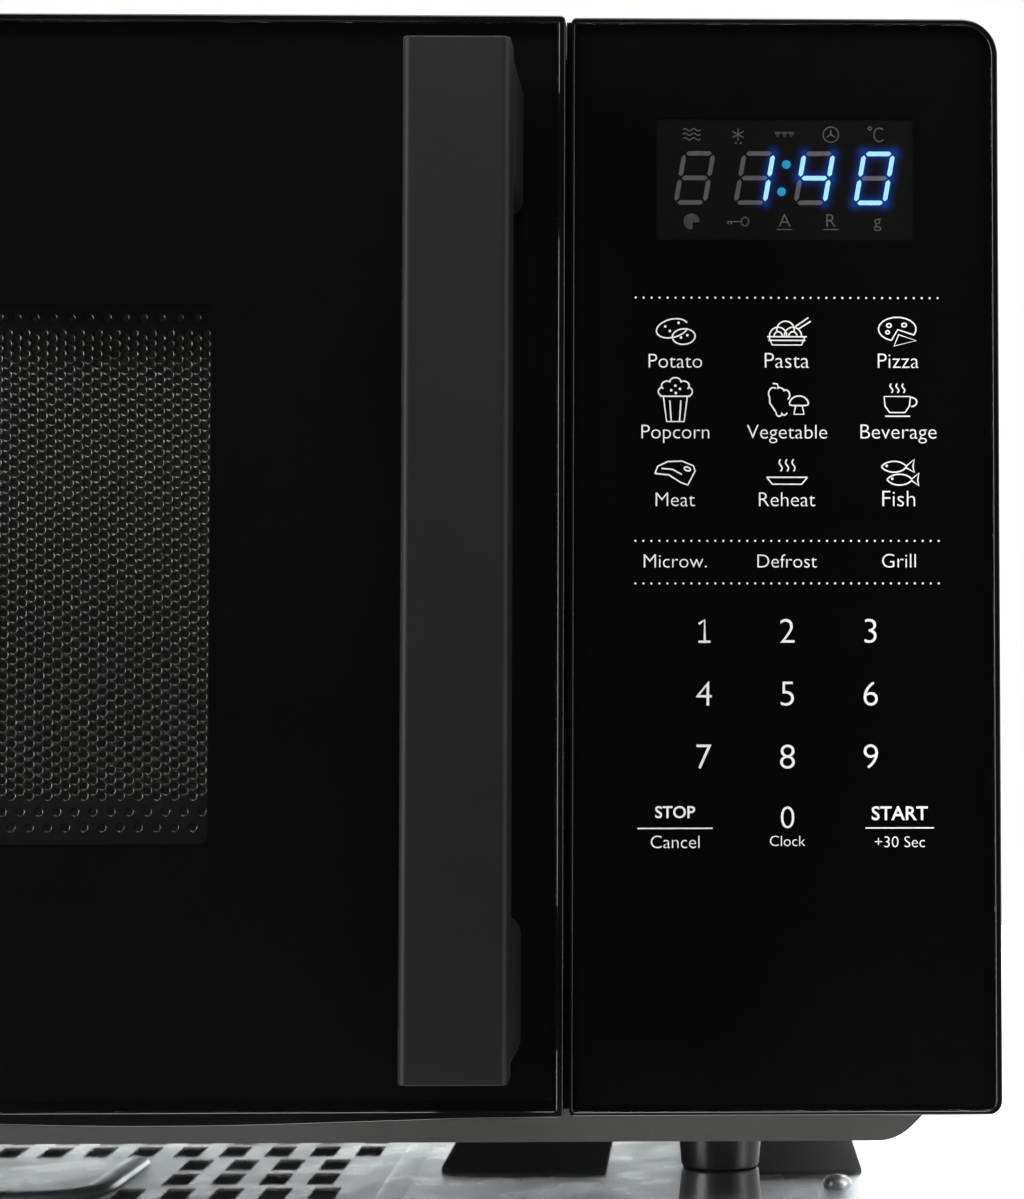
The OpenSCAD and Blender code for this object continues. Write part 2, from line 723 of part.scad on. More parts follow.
// Steel inner panel: perforated window field, then the folded choke channel round the edge
module choke_panel() {
    x0 = hinge[0] + 8;
    x1 = cavity_r + 4;
    color("dimgray") difference() {
        slab(choke_front, choke_end) polygon(round_box(x0, 25, x1, 252, [4, 4, 4, 4]));
        slab(choke_front + sheet_t, choke_end + 1) difference() {
            polygon(round_box(x0 + 0.8, 25.8, x1 - 0.8, 251.2, [3.2, 3.2, 3.2, 3.2]));
            difference() {
                polygon(round_box(cavity_l + 14, 47, cavity_r - 14, 227, [6, 6, 6, 6]));
                polygon(round_box(cavity_l + 14.8, 47.8, cavity_r - 14.8, 226.2, [5.2, 5.2, 5.2, 5.2]));
            }
        }
    }
}

// Plastic trim that closes the choke channel and faces the oven
module choke_cover() {
    color("black") difference() {
        slab(cover_front, door_rear) polygon(round_box(hinge[0] + 7, 24, cavity_r + 15, 253.4,
            [4, 1, 1, 4]));
        slab(cover_front - 1, plate_y)
            polygon(round_box(cavity_l + 16, 49, cavity_r - 16, 225, [5, 5, 5, 5]));
        slab(cover_front - 1, cover_front + 1.7)
            polygon(round_box(hinge[0] + 9, 26, cavity_r + 2, 251, [3, 3, 3, 3]));
        for (z = hook_z)
            block([hook_x - 0.8, hook_x + hook_t + 0.8], [cover_front - 1, plate_y], [z - 5, z + 14]);
    }
}

// Latch bar with its two hooks; it slides up a few millimetres against a spring
module door_latch() {
    color("white") {
        block([hook_x, hook_x + hook_t], [-156, -146], [hook_z[0], hook_z[1] + 8]);
        for (z = hook_z) {
            block([hook_x, hook_x + hook_t], [-146, -113], [z, z + 8]);
            block([hook_x, hook_x + hook_t], [-117, -113], [z - 4, z]);
        }
    }
}

module handle_bar() {
    x0 = handle_x;
    x1 = handle_x + handle_w;
    r = 0.9;
    profile = concat(arc([x0 + r, handle_front + r], r, 180, 270),
        arc([x1 - r, handle_front + r], r, 270, 360),
        [[x1, handle_front + bar_t], [x0, handle_front + bar_t]]);
    color("#303132") intersection() {
        translate([0, 0, handle_z0]) linear_extrude(handle_z1 - handle_z0) polygon(profile);
        slab(handle_front - 1, handle_front + bar_t + 1)
            polygon(round_box(x0, handle_z0, x1, handle_z1, [1.1, 1.1, 1.1, 1.1]));
    }
}

module handle_posts() {
    color("#3a3b3c") for (p = post_z) difference() {
        slab(handle_front + bar_t, door_y)
            polygon(round_box(handle_x + 2.4, p[0], handle_x + handle_w + 0.4, p[1], [4, 4, 4, 4]));
        rod_y(handle_x + handle_w / 2, [door_y - 16, door_y + 1], (p[0] + p[1]) / 2, 1.6);
    }
}

front_plate();
cavity_floor();
cavity_roof();
cavity_side_left();
cavity_side_right();
cavity_back();
base_pan();
cabinet_wrap();
rear_panel();
rear_spacers();
foot(1);  // foot_1
foot(2);  // foot_2
foot(3);  // foot_3
foot(4);  // foot_4
case_screws();
cord_gland();
hinge_bracket(arm_z_high, false);  // hinge_bracket_upper
hinge_bracket(arm_z_low, true);  // hinge_bracket_lower
latch_bracket();
interlock_switches();
switch_plunger(1);  // switch_plunger_1
switch_plunger(2);  // switch_plunger_2
switch_plunger(3);  // switch_plunger_3
control_panel_frame();
control_glass();
display_module();
control_board();
waveguide();
waveguide_cover();
magnetron_yoke();
magnetron_fins();
magnetron_magnets();
magnetron_core();
transformer_core();
transformer_windings();
hv_capacitor();
capacitor_clamp();
fan_shroud();
fan_motor();
fan_blade();
noise_filter();
cavity_lamp();
lamp_holder();
thermal_cutouts();
grill_element();
grill_holders();
turntable_motor();
drive_coupler();
glass_turntable();
roller_ring();
roller(1);  // roller_1
roller(2);  // roller_2
roller(3);  // roller_3
door_frame();
door_glass();
choke_panel();
choke_cover();
door_latch();
handle_bar();
handle_posts();
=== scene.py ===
# %% [markdown]
# # A microwave oven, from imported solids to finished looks
#
# The frame that is loaded here holds every part of the oven as a plain solid, already in place and
# already sorted into bodies that move: the door, the latch, the turntable, the fan. This lesson adds
# what a solid doesn't have: rounded edges, a pierced window screen, printed keys, a lit display and a
# real surface on everything. All sizes are in metres, and places are read from the frame.

# %% Load the frame
import json
import math

import bmesh
import bpy
from mathutils import Euler, Matrix, Vector


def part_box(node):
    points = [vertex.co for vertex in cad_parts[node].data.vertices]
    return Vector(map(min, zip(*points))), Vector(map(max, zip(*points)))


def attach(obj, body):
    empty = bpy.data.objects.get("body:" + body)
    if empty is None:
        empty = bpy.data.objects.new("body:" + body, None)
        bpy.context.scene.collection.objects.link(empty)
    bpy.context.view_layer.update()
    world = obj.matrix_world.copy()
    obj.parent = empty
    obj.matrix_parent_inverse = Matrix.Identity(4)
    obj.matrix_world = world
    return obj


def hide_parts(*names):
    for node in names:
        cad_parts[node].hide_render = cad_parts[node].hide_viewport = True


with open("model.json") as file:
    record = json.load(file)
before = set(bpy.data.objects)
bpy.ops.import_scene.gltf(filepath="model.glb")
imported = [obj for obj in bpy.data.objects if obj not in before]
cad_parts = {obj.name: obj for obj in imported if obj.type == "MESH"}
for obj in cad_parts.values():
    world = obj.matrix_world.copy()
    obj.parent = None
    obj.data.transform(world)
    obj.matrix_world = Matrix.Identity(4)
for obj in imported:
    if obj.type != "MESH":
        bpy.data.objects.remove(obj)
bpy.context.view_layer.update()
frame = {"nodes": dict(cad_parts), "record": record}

MM = 0.001
nodes = frame["nodes"]

# %% [markdown]
# ## Camera
#
# The camera stands close to the right half of the oven, a little above its middle, and looks up by
# three degrees. A long lens keeps the handle and the panel nearly straight. The view is off-centre, so
# the lens is shifted sideways: turning the camera instead would make the panel's edges converge.

# %% Camera
LENS, SENSOR = 87.16, 36  # mm
LENS_SHIFT = (-0.2122, -0.0368)  # as a share of the sensor's width
CAMERA_PLACE = (0.1558, -0.7890, 0.1084)
CAMERA_TURN = (92.89, 0.06, -1.24)  # degrees about X, Y and Z
camera_data = bpy.data.cameras.new("camera")
camera_data.lens = LENS
camera_data.sensor_width = SENSOR
camera_data.shift_x, camera_data.shift_y = LENS_SHIFT
camera = bpy.data.objects.new("camera", camera_data)
camera.location = CAMERA_PLACE
camera.rotation_euler = Euler([math.radians(angle) for angle in CAMERA_TURN], "XYZ")
bpy.context.scene.collection.objects.link(camera)
bpy.context.scene.camera = camera
bpy.context.scene.view_settings.view_transform = "Standard"
print("camera at", tuple(camera.location))

# %% [markdown]
# ## Studio
#
# A black glass front shows whatever stands before it, so the room before the oven is dark and the
# light comes from soft boxes above and at the sides, outside the mirror image that the camera sees in
# the glass. Behind the oven everything is white, and the floor is a polished pale sheet: at this low
# angle it mirrors the underside of the oven. A world shader can tell the backdrop from the light that
# falls on the oven, which a white wall can't.

# %% Soft boxes
def soft_box(name, place, target, width, height, power, tint=(1, 1, 1)):
    light = bpy.data.lights.new(name, "AREA")
    light.shape = "RECTANGLE"
    light.size, light.size_y = width, height
    light.energy = power
    light.color = tint
    lamp = bpy.data.objects.new(name, light)
    lamp.location = place
    aim = Vector(target) - Vector(place)
    lamp.rotation_euler = aim.to_track_quat("-Z", "Y").to_euler()
    bpy.context.scene.collection.objects.link(lamp)


middle = (0.05, -0.15, 0.12)
soft_box("key_above", (0.1, -1.35, 1.6), middle, 1.2, 0.7, 40)
soft_box("left_strip", (-1.15, -1.0, 0.25), middle, 0.4, 1.0, 20)
soft_box("right_strip", (1.35, -0.55, 0.4), middle, 0.3, 1.0, 5)
soft_box("rear_top", (0.0, 1.3, 1.4), (0, 0.1, 0.15), 1.4, 0.8, 8)
soft_box("rear_low", (0.0, 0.75, 0.12), (0, 0, 0.12), 1.6, 0.22, 2.4)
soft_box("cavity_fill", (-0.045, -0.10, 0.2), (-0.045, 0.13, 0.05), 0.2, 0.05, 0.010, (1.0, 0.93, 0.62))

# %% White backdrop, dark room in front
def add_node(tree, kind, values=None, links=None):
    """A new shader node: values for its inputs, and outputs of other nodes that lead into them."""
    node = tree.nodes.new("ShaderNode" + kind)
    for socket, value in (values or {}).items():
        node.inputs[socket].default_value = value
    for socket, source in (links or {}).items():
        tree.links.new(source, node.inputs[socket])
    return node


world = bpy.data.worlds.new("studio")
bpy.context.scene.world = world
world.use_nodes = True
tree = world.node_tree
tree.nodes.clear()
direction = add_node(tree, "TexCoord")
axes = add_node(tree, "SeparateXYZ", links={0: direction.outputs["Generated"]})
room = add_node(tree, "MapRange", {"From Min": -0.88, "From Max": -0.35, "To Min": 0.003, "To Max": 1.02},
    {"Value": axes.outputs["Y"]})
room.interpolation_type = "SMOOTHSTEP"
lit_room = add_node(tree, "Background", links={"Color": room.outputs[0]})
backdrop = add_node(tree, "Background", {"Color": (1, 1, 1, 1)})
seen = add_node(tree, "LightPath")
both = add_node(tree, "MixShader", links={0: seen.outputs["Is Camera Ray"], 1: lit_room.outputs[0],
    2: backdrop.outputs[0]})
add_node(tree, "OutputWorld", links={0: both.outputs[0]})
print("world made")

# %% [markdown]
# ## Finishes
#
# Every finish is a Principled shader with some procedural detail: fine noise for the texture of paint,
# stretched noise for drawn metal, cells for the spangle of galvanised sheet. The patterns read Object
# coordinates, so they stay where they are when a door swings. Small helpers keep each finish short.

# %% Helpers for finishes
finishes = {}


def finish(name, color, roughness, metallic=0.0, **sockets):
    """A new material with a Principled shader; more sockets are given by name."""
    material = bpy.data.materials.new(name)
    material.use_nodes = True
    shader = material.node_tree.nodes["Principled BSDF"]
    shader.inputs["Base Color"].default_value = (*color, 1)
    shader.inputs["Roughness"].default_value = roughness
    shader.inputs["Metallic"].default_value = metallic
    for socket, value in sockets.items():
        shader.inputs[socket.replace("_", " ")].default_value = value
    finishes[name] = material
    return material


def pattern(material, kind, scale, stretch=(1, 1, 1), **values):
    """A noise, Voronoi or wave pattern on Object coordinates, in periods per metre."""
    tree = material.node_tree
    where = add_node(tree, "TexCoord")
    mapping = add_node(tree, "Mapping", {"Scale": stretch}, {0: where.outputs["Object"]})
    texture = add_node(tree, "Tex" + kind, {"Scale": scale, **values}, {"Vector": mapping.outputs[0]})
    return texture.outputs["Distance" if kind == "Voronoi" else "Fac"]


def noise(material, scale, detail, stretch=(1, 1, 1)):
    return pattern(material, "Noise", scale, stretch, Detail=detail)


def drive(material, source, socket, low, high, start=0.3, end=0.7):
    """The pattern moves one value or colour of the shader between low and high."""
    tree = material.node_tree
    if hasattr(low, "__len__"):
        span = add_node(tree, "ValToRGB", links={0: source})
        for stop, position, tone in zip(span.color_ramp.elements, (start, end), (low, high)):
            stop.position = position
            stop.color = (*tone, 1)
    else:
        span = add_node(tree, "MapRange", {"From Min": start, "From Max": end, "To Min": low,
            "To Max": high}, {"Value": source})
    tree.links.new(span.outputs[0], tree.nodes["Principled BSDF"].inputs[socket])


def relief(material, source, height, strength=1.0):
    """The pattern raises the surface by up to height metres; calls stack up."""
    tree = material.node_tree
    shader = tree.nodes["Principled BSDF"]
    bump = add_node(tree, "Bump", {"Distance": height, "Strength": strength}, {"Height": source})
    before = shader.inputs["Normal"].links
    if before:
        tree.links.new(before[0].from_socket, bump.inputs["Normal"])
    tree.links.new(bump.outputs[0], shader.inputs["Normal"])


# %% [markdown]
# ### Paints
#
# The handle is lacquered metal with a very fine grain, dull enough to spread the light of the soft
# boxes into a gradient. The front plate is a smoother dark grey, and the outer cover has the pebbled
# texture of powder coat, which is what hides fingerprints and scratches on a real cabinet.

# %% Paints
def make_paints():
    handle = finish("handle_grey", (0.0055, 0.0055, 0.0056), 0.48, 0.0, Specular_IOR_Level=0.2)
    fine = noise(handle, 5200, 3)
    drive(handle, noise(handle, 26, 4), "Base Color", (0.0048, 0.0049, 0.0049), (0.0061, 0.0061, 0.0060))
    drive(handle, fine, "Roughness", 0.44, 0.52)
    relief(handle, fine, 0.000012)

    plate = finish("plate_paint", (0.085, 0.085, 0.080), 0.38)
    drive(plate, noise(plate, 18, 5), "Base Color", (0.078, 0.078, 0.073), (0.094, 0.094, 0.088))
    drive(plate, noise(plate, 900, 2), "Roughness", 0.32, 0.44)
    relief(plate, noise(plate, 1600, 2), 0.00002)

    wrap = finish("wrap_paint", (0.040, 0.041, 0.043), 0.5)
    pebbles = pattern(wrap, "Voronoi", 900)
    drive(wrap, noise(wrap, 12, 6), "Base Color", (0.036, 0.037, 0.039), (0.046, 0.047, 0.049))
    drive(wrap, pebbles, "Roughness", 0.42, 0.6)
    relief(wrap, pebbles, 0.00010, 0.7)

    enamel = finish("cavity_enamel", (0.50, 0.50, 0.48), 0.32, Coat_Weight=0.3, Coat_Roughness=0.12)
    flecks = noise(enamel, 2600, 2)
    drive(enamel, flecks, "Base Color", (0.40, 0.40, 0.39), (0.56, 0.56, 0.54), 0.36, 0.52)
    relief(enamel, noise(enamel, 700, 3), 0.00003)

    screen = finish("screen_steel", (0.009, 0.009, 0.0085), 0.27, Specular_IOR_Level=1.0)
    drive(screen, noise(screen, 40, 5), "Base Color", (0.008, 0.008, 0.0075), (0.011, 0.011, 0.0102))
    relief(screen, noise(screen, 1900, 2), 0.00001)
    print("paints:", handle.name, plate.name, wrap.name, enamel.name, screen.name)


make_paints()

# %% [markdown]
# ### Metals
#
# Zinc freezes on sheet steel in flat crystals, each a slightly different grey: a Voronoi pattern with
# its cells read as colour gives that spangle. The base pan gets a brighter copy of the same sheet than the
# rear panel: painted light, for the light that the white floor throws up under the oven.
# Drawn and plated parts get a stretched noise instead.

# %% Metals
def make_metals():
    # the second sheet is the same galvanised steel made brighter for the base pan: painted light from the
    # floor below
    for name, dark, light in (("galvanised", (0.34, 0.36, 0.37), (0.50, 0.52, 0.53)),
            ("pan_sheet_painted_light", (0.67, 0.72, 0.74), (0.81, 0.85, 0.87))):
        sheet = finish(name, light, 0.30, 0.95)
        crystals = pattern(sheet, "Voronoi", 95).node.outputs["Color"]
        grey = add_node(sheet.node_tree, "RGBToBW", links={0: crystals})
        drive(sheet, grey.outputs[0], "Base Color", dark, light, 0.2, 0.8)
        drive(sheet, noise(sheet, 60, 5), "Roughness", 0.22, 0.36)
        relief(sheet, noise(sheet, 1200, 2), 0.00001)

    for name, tone, rough, stretch in (
        ("zinc", (0.66, 0.67, 0.68), 0.30, (1, 1, 6)), ("aluminium", (0.76, 0.77, 0.78), 0.26, (6, 1, 1)),
        ("copper", (0.72, 0.40, 0.25), 0.30, (1, 6, 1)),
    ):
        metal = finish(name, tone, rough, 1.0)
        lines = noise(metal, 700, 3, stretch)
        drive(metal, lines, "Roughness", rough - 0.07, rough + 0.1)
        drive(metal, noise(metal, 45, 4), "Base Color", [0.88 * c for c in tone],
            [min(1, 1.05 * c) for c in tone])
        relief(metal, lines, 0.000012)

    core = finish("lamination", (0.10, 0.10, 0.105), 0.5, 0.7)
    sheets = pattern(core, "Wave", 320, (0, 1, 0.02), Distortion=0.4)
    drive(core, sheets, "Base Color", (0.06, 0.06, 0.062), (0.16, 0.155, 0.15))
    relief(core, sheets, 0.00012)

    heater = finish("heater_sheath", (0.17, 0.18, 0.16), 0.45, 0.85)
    drive(heater, noise(heater, 55, 6), "Base Color", (0.10, 0.11, 0.10), (0.26, 0.25, 0.21))
    relief(heater, noise(heater, 900, 3), 0.00002)
    print("metals made; finishes so far:", len(finishes))


make_metals()

# %% [markdown]
# ### Plastics, rubber and ceramics
#
# Moulded parts differ mostly in colour and in how coarse the texture of their mould is, so one loop
# with a table of finishes does them all: colour, roughness, grain size and grain height.

# %% Plastics, rubber and ceramics
MOULDED = (
    # name, colour, roughness, grain per metre, grain height in mm
    ("black_plastic", (0.011, 0.011, 0.0115), 0.50, 2600, 0.020),
    ("gloss_black", (0.0030, 0.0030, 0.0033), 0.12, 160, 0.002),
    ("white_plastic", (0.72, 0.71, 0.67), 0.42, 2200, 0.015),
    ("grey_plastic", (0.44, 0.44, 0.43), 0.45, 2200, 0.015),
    ("red_plastic", (0.50, 0.028, 0.02), 0.40, 2200, 0.012),
    ("rubber", (0.008, 0.008, 0.0083), 0.42, 1500, 0.020),
    # a dark sheet for the shade under the pan: painted shade
    ("painted_shade_pad", (0.012, 0.012, 0.012), 0.75, 700, 0.060),
    ("ferrite", (0.045, 0.045, 0.047), 0.65, 1300, 0.050),
    ("heater_ceramic", (0.80, 0.78, 0.72), 0.60, 1100, 0.040),
    ("circuit_board", (0.022, 0.13, 0.05), 0.35, 500, 0.010),
    ("mica", (0.42, 0.36, 0.26), 0.45, 420, 0.030),
    ("winding", (0.40, 0.15, 0.05), 0.25, 900, 0.020),
)


def make_moulded():
    for name, tone, rough, grain, height in MOULDED:
        plastic = finish(name, tone, rough)
        texture = noise(plastic, grain, 3)
        drive(plastic, noise(plastic, 30, 4), "Base Color", [0.88 * c for c in tone],
            [1.1 * c for c in tone])
        drive(plastic, texture, "Roughness", 0.85 * rough, 1.15 * rough)
        relief(plastic, texture, height * MM)
    coils = finishes["winding"]
    relief(coils, pattern(coils, "Wave", 420, (0, 0, 1), Distortion=0.2), 0.0004)
    mica = finishes["mica"]
    flakes = pattern(mica, "Voronoi", 260)
    drive(mica, flakes, "Base Color", (0.50, 0.43, 0.32), (0.34, 0.28, 0.20), 0.0, 0.9)
    board = finishes["circuit_board"]
    tracks = pattern(board, "Voronoi", 240)
    drive(board, tracks, "Base Color", (0.018, 0.11, 0.042), (0.035, 0.19, 0.07), 0.1, 0.5)
    print("moulded finishes:", len(MOULDED))


make_moulded()

# %% [markdown]
# ### Glass
#
# The door and the panel are sheets of dark glass with a black print on their rear face. Real refraction
# would stop the light of the soft boxes on its way to the window screen, so the dark sheets are partly
# see-through surfaces instead, with a smooth gloss. The turntable is clear pressed glass and refracts.

# %% Glass
def make_glass():
    for name, alpha in (("door_glass", 0.22), ("panel_glass", 0.30)):
        dark = finish(name, (0.0025, 0.0027, 0.003), 0.03, Alpha=alpha, IOR=1.5)
        waves = noise(dark, 9, 1)
        drive(dark, waves, "Roughness", 0.02, 0.045)
        relief(dark, waves, 0.00001, 0.2)
    clear = finish("clear_glass", (0.90, 0.96, 0.95), 0.03, Transmission_Weight=1.0, IOR=1.5)
    cords = noise(clear, 22, 2)
    drive(clear, cords, "Roughness", 0.015, 0.06)
    relief(clear, cords, 0.0001, 0.4)
    film = finish("black_print", (0.0018, 0.0018, 0.002), 0.30, Specular_IOR_Level=0.15)
    drive(film, noise(film, 300, 2), "Roughness", 0.28, 0.32)
    drive(film, noise(film, 25, 3), "Base Color", (0.0015, 0.0015, 0.0017), (0.0022, 0.0022, 0.0024))
    print("glass made; finishes in all:", len(finishes))


make_glass()

# %% Give every solid of the frame its finish
slot_of = {part["node"]: part["material_slot"] for part in frame["record"]["subparts"]}
for name, solid in nodes.items():
    if not solid.material_slots:
        solid.data.materials.append(finishes[slot_of[name]])
    for material_slot in solid.material_slots:
        material_slot.material = finishes[slot_of[name]]
# the base pan gets the brighter copy of the galvanised sheet: painted light
for material_slot in nodes["base_pan"].material_slots:
    material_slot.material = finishes["pan_sheet_painted_light"]
print("finishes on", len(slot_of), "solids")

# %% [markdown]
# ## Modelling helpers
#
# A piece starts as a block, a disc or a spun profile in a bmesh, and `place` turns it into an object:
# it marks the sharp edges, gives the piece its finish, hides the solids it stands for and attaches it to
# the body it moves with. Edges of more than 35 degrees stay crisp, and everything flatter is shaded smooth.

# %% Helpers for meshes
CRISP = math.radians(35)
UPRIGHT = Matrix.Rotation(math.pi / 2, 4, "X")  # turns what lies flat to face the front
body_names = {node: body for body, members in frame["record"]["behaviour"]["bodies"].items()
    for node in members}


def mesh_of(bm, name):
    """Turns a bmesh into a mesh and frees it."""
    mesh = bpy.data.meshes.new(name)
    bm.to_mesh(mesh)
    bm.free()
    return mesh


def place(bm, name, finish_name, body, stands_for=(), slot=None, outwards=True):
    """Makes the bmesh an object that rides on a body and may replace solids of the frame.
    Large faces keep flat reflections, and only the narrow rounded edges bend the light."""
    if outwards:
        bmesh.ops.recalc_face_normals(bm, faces=bm.faces)
    for edge in bm.edges:
        edge.smooth = len(edge.link_faces) == 2 and edge.calc_face_angle(0) < CRISP
    for face in bm.faces:
        face.smooth = True
    piece = own(bpy.data.objects.new(name, mesh_of(bm, name)), finish_name, body, stands_for)
    piece.modifiers.new("flat faces stay flat", "WEIGHTED_NORMAL").keep_sharp = True
    return piece


def own(piece, finish_name, body, stands_for=()):
    bpy.context.scene.collection.objects.link(piece)
    piece.data.materials.clear()
    piece.data.materials.append(finishes[finish_name])
    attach(piece, body)
    if stands_for:
        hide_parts(*stands_for)
    return piece


def block(bm, x, y, z):
    """A box from x[0] to x[1] and so on; returns its edges."""
    made = bmesh.ops.create_cube(bm, size=1)["verts"]
    size = Vector((x[1] - x[0], y[1] - y[0], z[1] - z[0]))
    middle = Vector((x[0] + x[1], y[0] + y[1], z[0] + z[1])) / 2
    bmesh.ops.scale(bm, vec=size, verts=made)
    bmesh.ops.translate(bm, vec=middle, verts=made)
    return list({edge for vert in made for edge in vert.link_edges})


def crisp_edges(bm):
    return [edge for edge in bm.edges if edge.calc_face_angle(0) > CRISP]


def soften(bm, edges, width, segments=3):
    """Rounds edges of a solid."""
    bmesh.ops.bevel(bm, geom=list(edges), offset=width, offset_type="OFFSET", segments=segments,
        profile=0.5, affect="EDGES", clamp_overlap=False, material=-1)


def along(edge, axis, limit=0.999):
    """True if the edge runs along an axis: 0, 1 or 2 for X, Y, Z."""
    line = edge.verts[1].co - edge.verts[0].co
    return abs(line[axis]) > limit * line.length


def middle_of(edge):
    return (edge.verts[0].co + edge.verts[1].co) / 2


def merged_copy(node):
    """The mesh of a solid with its triangles joined into flat faces."""
    bm = bmesh.new()
    bm.from_mesh(nodes[node].data)
    bmesh.ops.remove_doubles(bm, verts=bm.verts, dist=0.002 * MM)
    bmesh.ops.dissolve_limit(bm, angle_limit=math.radians(1), verts=bm.verts, edges=bm.edges)
    return bm


def spun(profile, centre, axis=(0, 0, 1), steps=64):
    """Spins a closed half section, given as (radius, height) in mm, about an axis through centre."""
    bm = bmesh.new()
    corners = [bm.verts.new((r * MM, 0, h * MM)) for r, h in profile]
    loop = [bm.edges.new((corners[i], corners[(i + 1) % len(corners)])) for i in range(len(corners))]
    bmesh.ops.spin(bm, geom=corners + loop, cent=(0, 0, 0), axis=(0, 0, 1), angle=2 * math.pi,
        steps=steps, use_merge=True)
    bmesh.ops.remove_doubles(bm, verts=bm.verts, dist=0.001 * MM)
    lean = Vector((0, 0, 1)).rotation_difference(Vector(axis)).to_matrix()
    bmesh.ops.transform(bm, matrix=Matrix.Translation(centre) @ lean.to_4x4(), verts=bm.verts)
    return bm


def add_mesh(bm, mesh, offset=(0, 0, 0), keep=False):
    """Adds a mesh to bm, moved by offset, and removes the mesh unless it is kept."""
    before = len(bm.verts)
    bm.from_mesh(mesh)
    bm.verts.ensure_lookup_table()
    bmesh.ops.translate(bm, vec=offset, verts=bm.verts[before:])
    if not keep:
        bpy.data.meshes.remove(mesh)


def join_into(bm, other):
    """Adds another bmesh to bm and frees it."""
    add_mesh(bm, mesh_of(other, "join"))


def push(bm, made, offset):
    """Moves the new vertices of an extrusion."""
    moved = [v for v in made["geom"] if isinstance(v, bmesh.types.BMVert)]
    bmesh.ops.translate(bm, vec=offset, verts=moved)


def shape_mesh(curve):
    """The mesh of a curve or a text, which is removed."""
    shape = bpy.data.objects.new("shape", curve)
    bpy.context.scene.collection.objects.link(shape)
    bpy.context.view_layer.update()
    mesh = bpy.data.meshes.new_from_object(shape.evaluated_get(bpy.context.evaluated_depsgraph_get()))
    bpy.data.objects.remove(shape)
    bpy.data.curves.remove(curve)
    return mesh


def line_mesh(lines, radius, rings=1):
    """Round lines through points in metres, in one mesh; a line that ends at its start is closed."""
    curve = bpy.data.curves.new("lines", "CURVE")
    curve.dimensions = "3D"
    curve.bevel_depth = radius
    curve.bevel_resolution = rings
    curve.use_fill_caps = True
    for points in lines:
        spline = curve.splines.new("POLY")
        closed = (Vector(points[0]) - Vector(points[-1])).length < 0.01 * MM
        kept = points[:-1] if closed else points
        spline.points.add(len(kept) - 1)
        for target, point in zip(spline.points, kept):
            target.co = (*point, 1)
        spline.use_cyclic_u = closed
    return shape_mesh(curve)


def add_disc(bm, centre, radius, depth, sides):
    """A flat disc that faces the front."""
    bmesh.ops.create_cone(bm, cap_ends=True, segments=sides, radius1=radius, radius2=radius, depth=depth,
        matrix=Matrix.Translation(centre) @ UPRIGHT)


print("helpers ready")

# %% [markdown]
# ## Door and panel frames
#
# The frames are injection moulded, and their front edge is a narrow glossy rim round the glass. What
# sells the part is the fine light line that runs along that rim. The solids have the right outline but
# knife edges, so a merged copy is taken and its crisp front edges are rounded by a third of a
# millimetre, which is what the mould does. The panel's lip is drawn out until it almost touches the
# door: it shuts the gap to the eye, and the door moves away from it as soon as it opens.

# %% Door frame and panel frame
RIM_ROUND = 0.35 * MM
LIP_CLEARANCE = 0.04 * MM


def rounded_front(node, name, finish_name, width, depth=0.2 * MM):
    """A merged copy of a solid whose crisp edges near its front are rounded."""
    bm = merged_copy(node)
    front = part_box(node)[0].y
    soften(bm, [edge for edge in crisp_edges(bm) if middle_of(edge).y < front + depth
        and not along(edge, 1, 0.9)], width)
    return place(bm, name, finish_name, body_names[node], [node], outwards=False)


door_rim = rounded_front("door_frame", "door_rim", "gloss_black", RIM_ROUND)
panel_rim = rounded_front("control_panel_frame", "panel_rim", "gloss_black", RIM_ROUND)
door_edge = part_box("door_frame")[1].x
panel_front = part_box("control_panel_frame")[0].y
for vert in panel_rim.data.vertices:
    if 3 * MM < vert.co.y - panel_front < 6 * MM and vert.co.x < door_edge + 0.6 * MM:
        vert.co.x = door_edge + LIP_CLEARANCE
print("frames:", len(door_rim.data.polygons), len(panel_rim.data.polygons), "faces")

# %% [markdown]
# ## Glass and its black print
#
# Both glasses are cut with a small bright arris along the front edge. The print is a film on the rear
# face: black everywhere but in the windows. It is made as a thin sheet with an opening, by bridging
# the outline of the glass to the outline of the window.

# %% Door glass and panel glass
ARRIS = 0.25 * MM
rounded_front("door_glass", "door_pane", "door_glass", ARRIS)
rounded_front("control_glass", "panel_pane", "panel_glass", ARRIS)


def rectangle(bm, x, z, y, radius=0.0, segments=4):
    """A loop of edges round a rectangle that faces the front, with rounded corners."""
    before = set(bm.edges)
    corners = [bm.verts.new((x[i], y, z[j])) for i, j in ((0, 0), (1, 0), (1, 1), (0, 1))]
    bm.faces.new(corners)
    if radius:
        bmesh.ops.bevel(bm, geom=corners, offset=radius, offset_type="OFFSET", segments=segments,
            profile=0.5, affect="VERTICES", clamp_overlap=False, material=-1)
    edges = [edge for edge in bm.edges if edge not in before]
    faces = list({face for edge in edges for face in edge.link_faces})
    bmesh.ops.delete(bm, geom=faces, context="FACES_ONLY")
    return edges


def printed_film(name, body, outline, window, y, thickness, radius):
    """A thin black sheet with a window."""
    bm = bmesh.new()
    outer = rectangle(bm, *outline, y)
    inner = rectangle(bm, *window, y, radius)
    bmesh.ops.triangle_fill(bm, edges=outer + inner, use_beauty=True)
    bmesh.ops.recalc_face_normals(bm, faces=bm.faces)
    push(bm, bmesh.ops.extrude_face_region(bm, geom=bm.faces[:], use_keep_orig=True), (0, thickness, 0))
    place(bm, name, "black_print", body, slot="gloss_black")


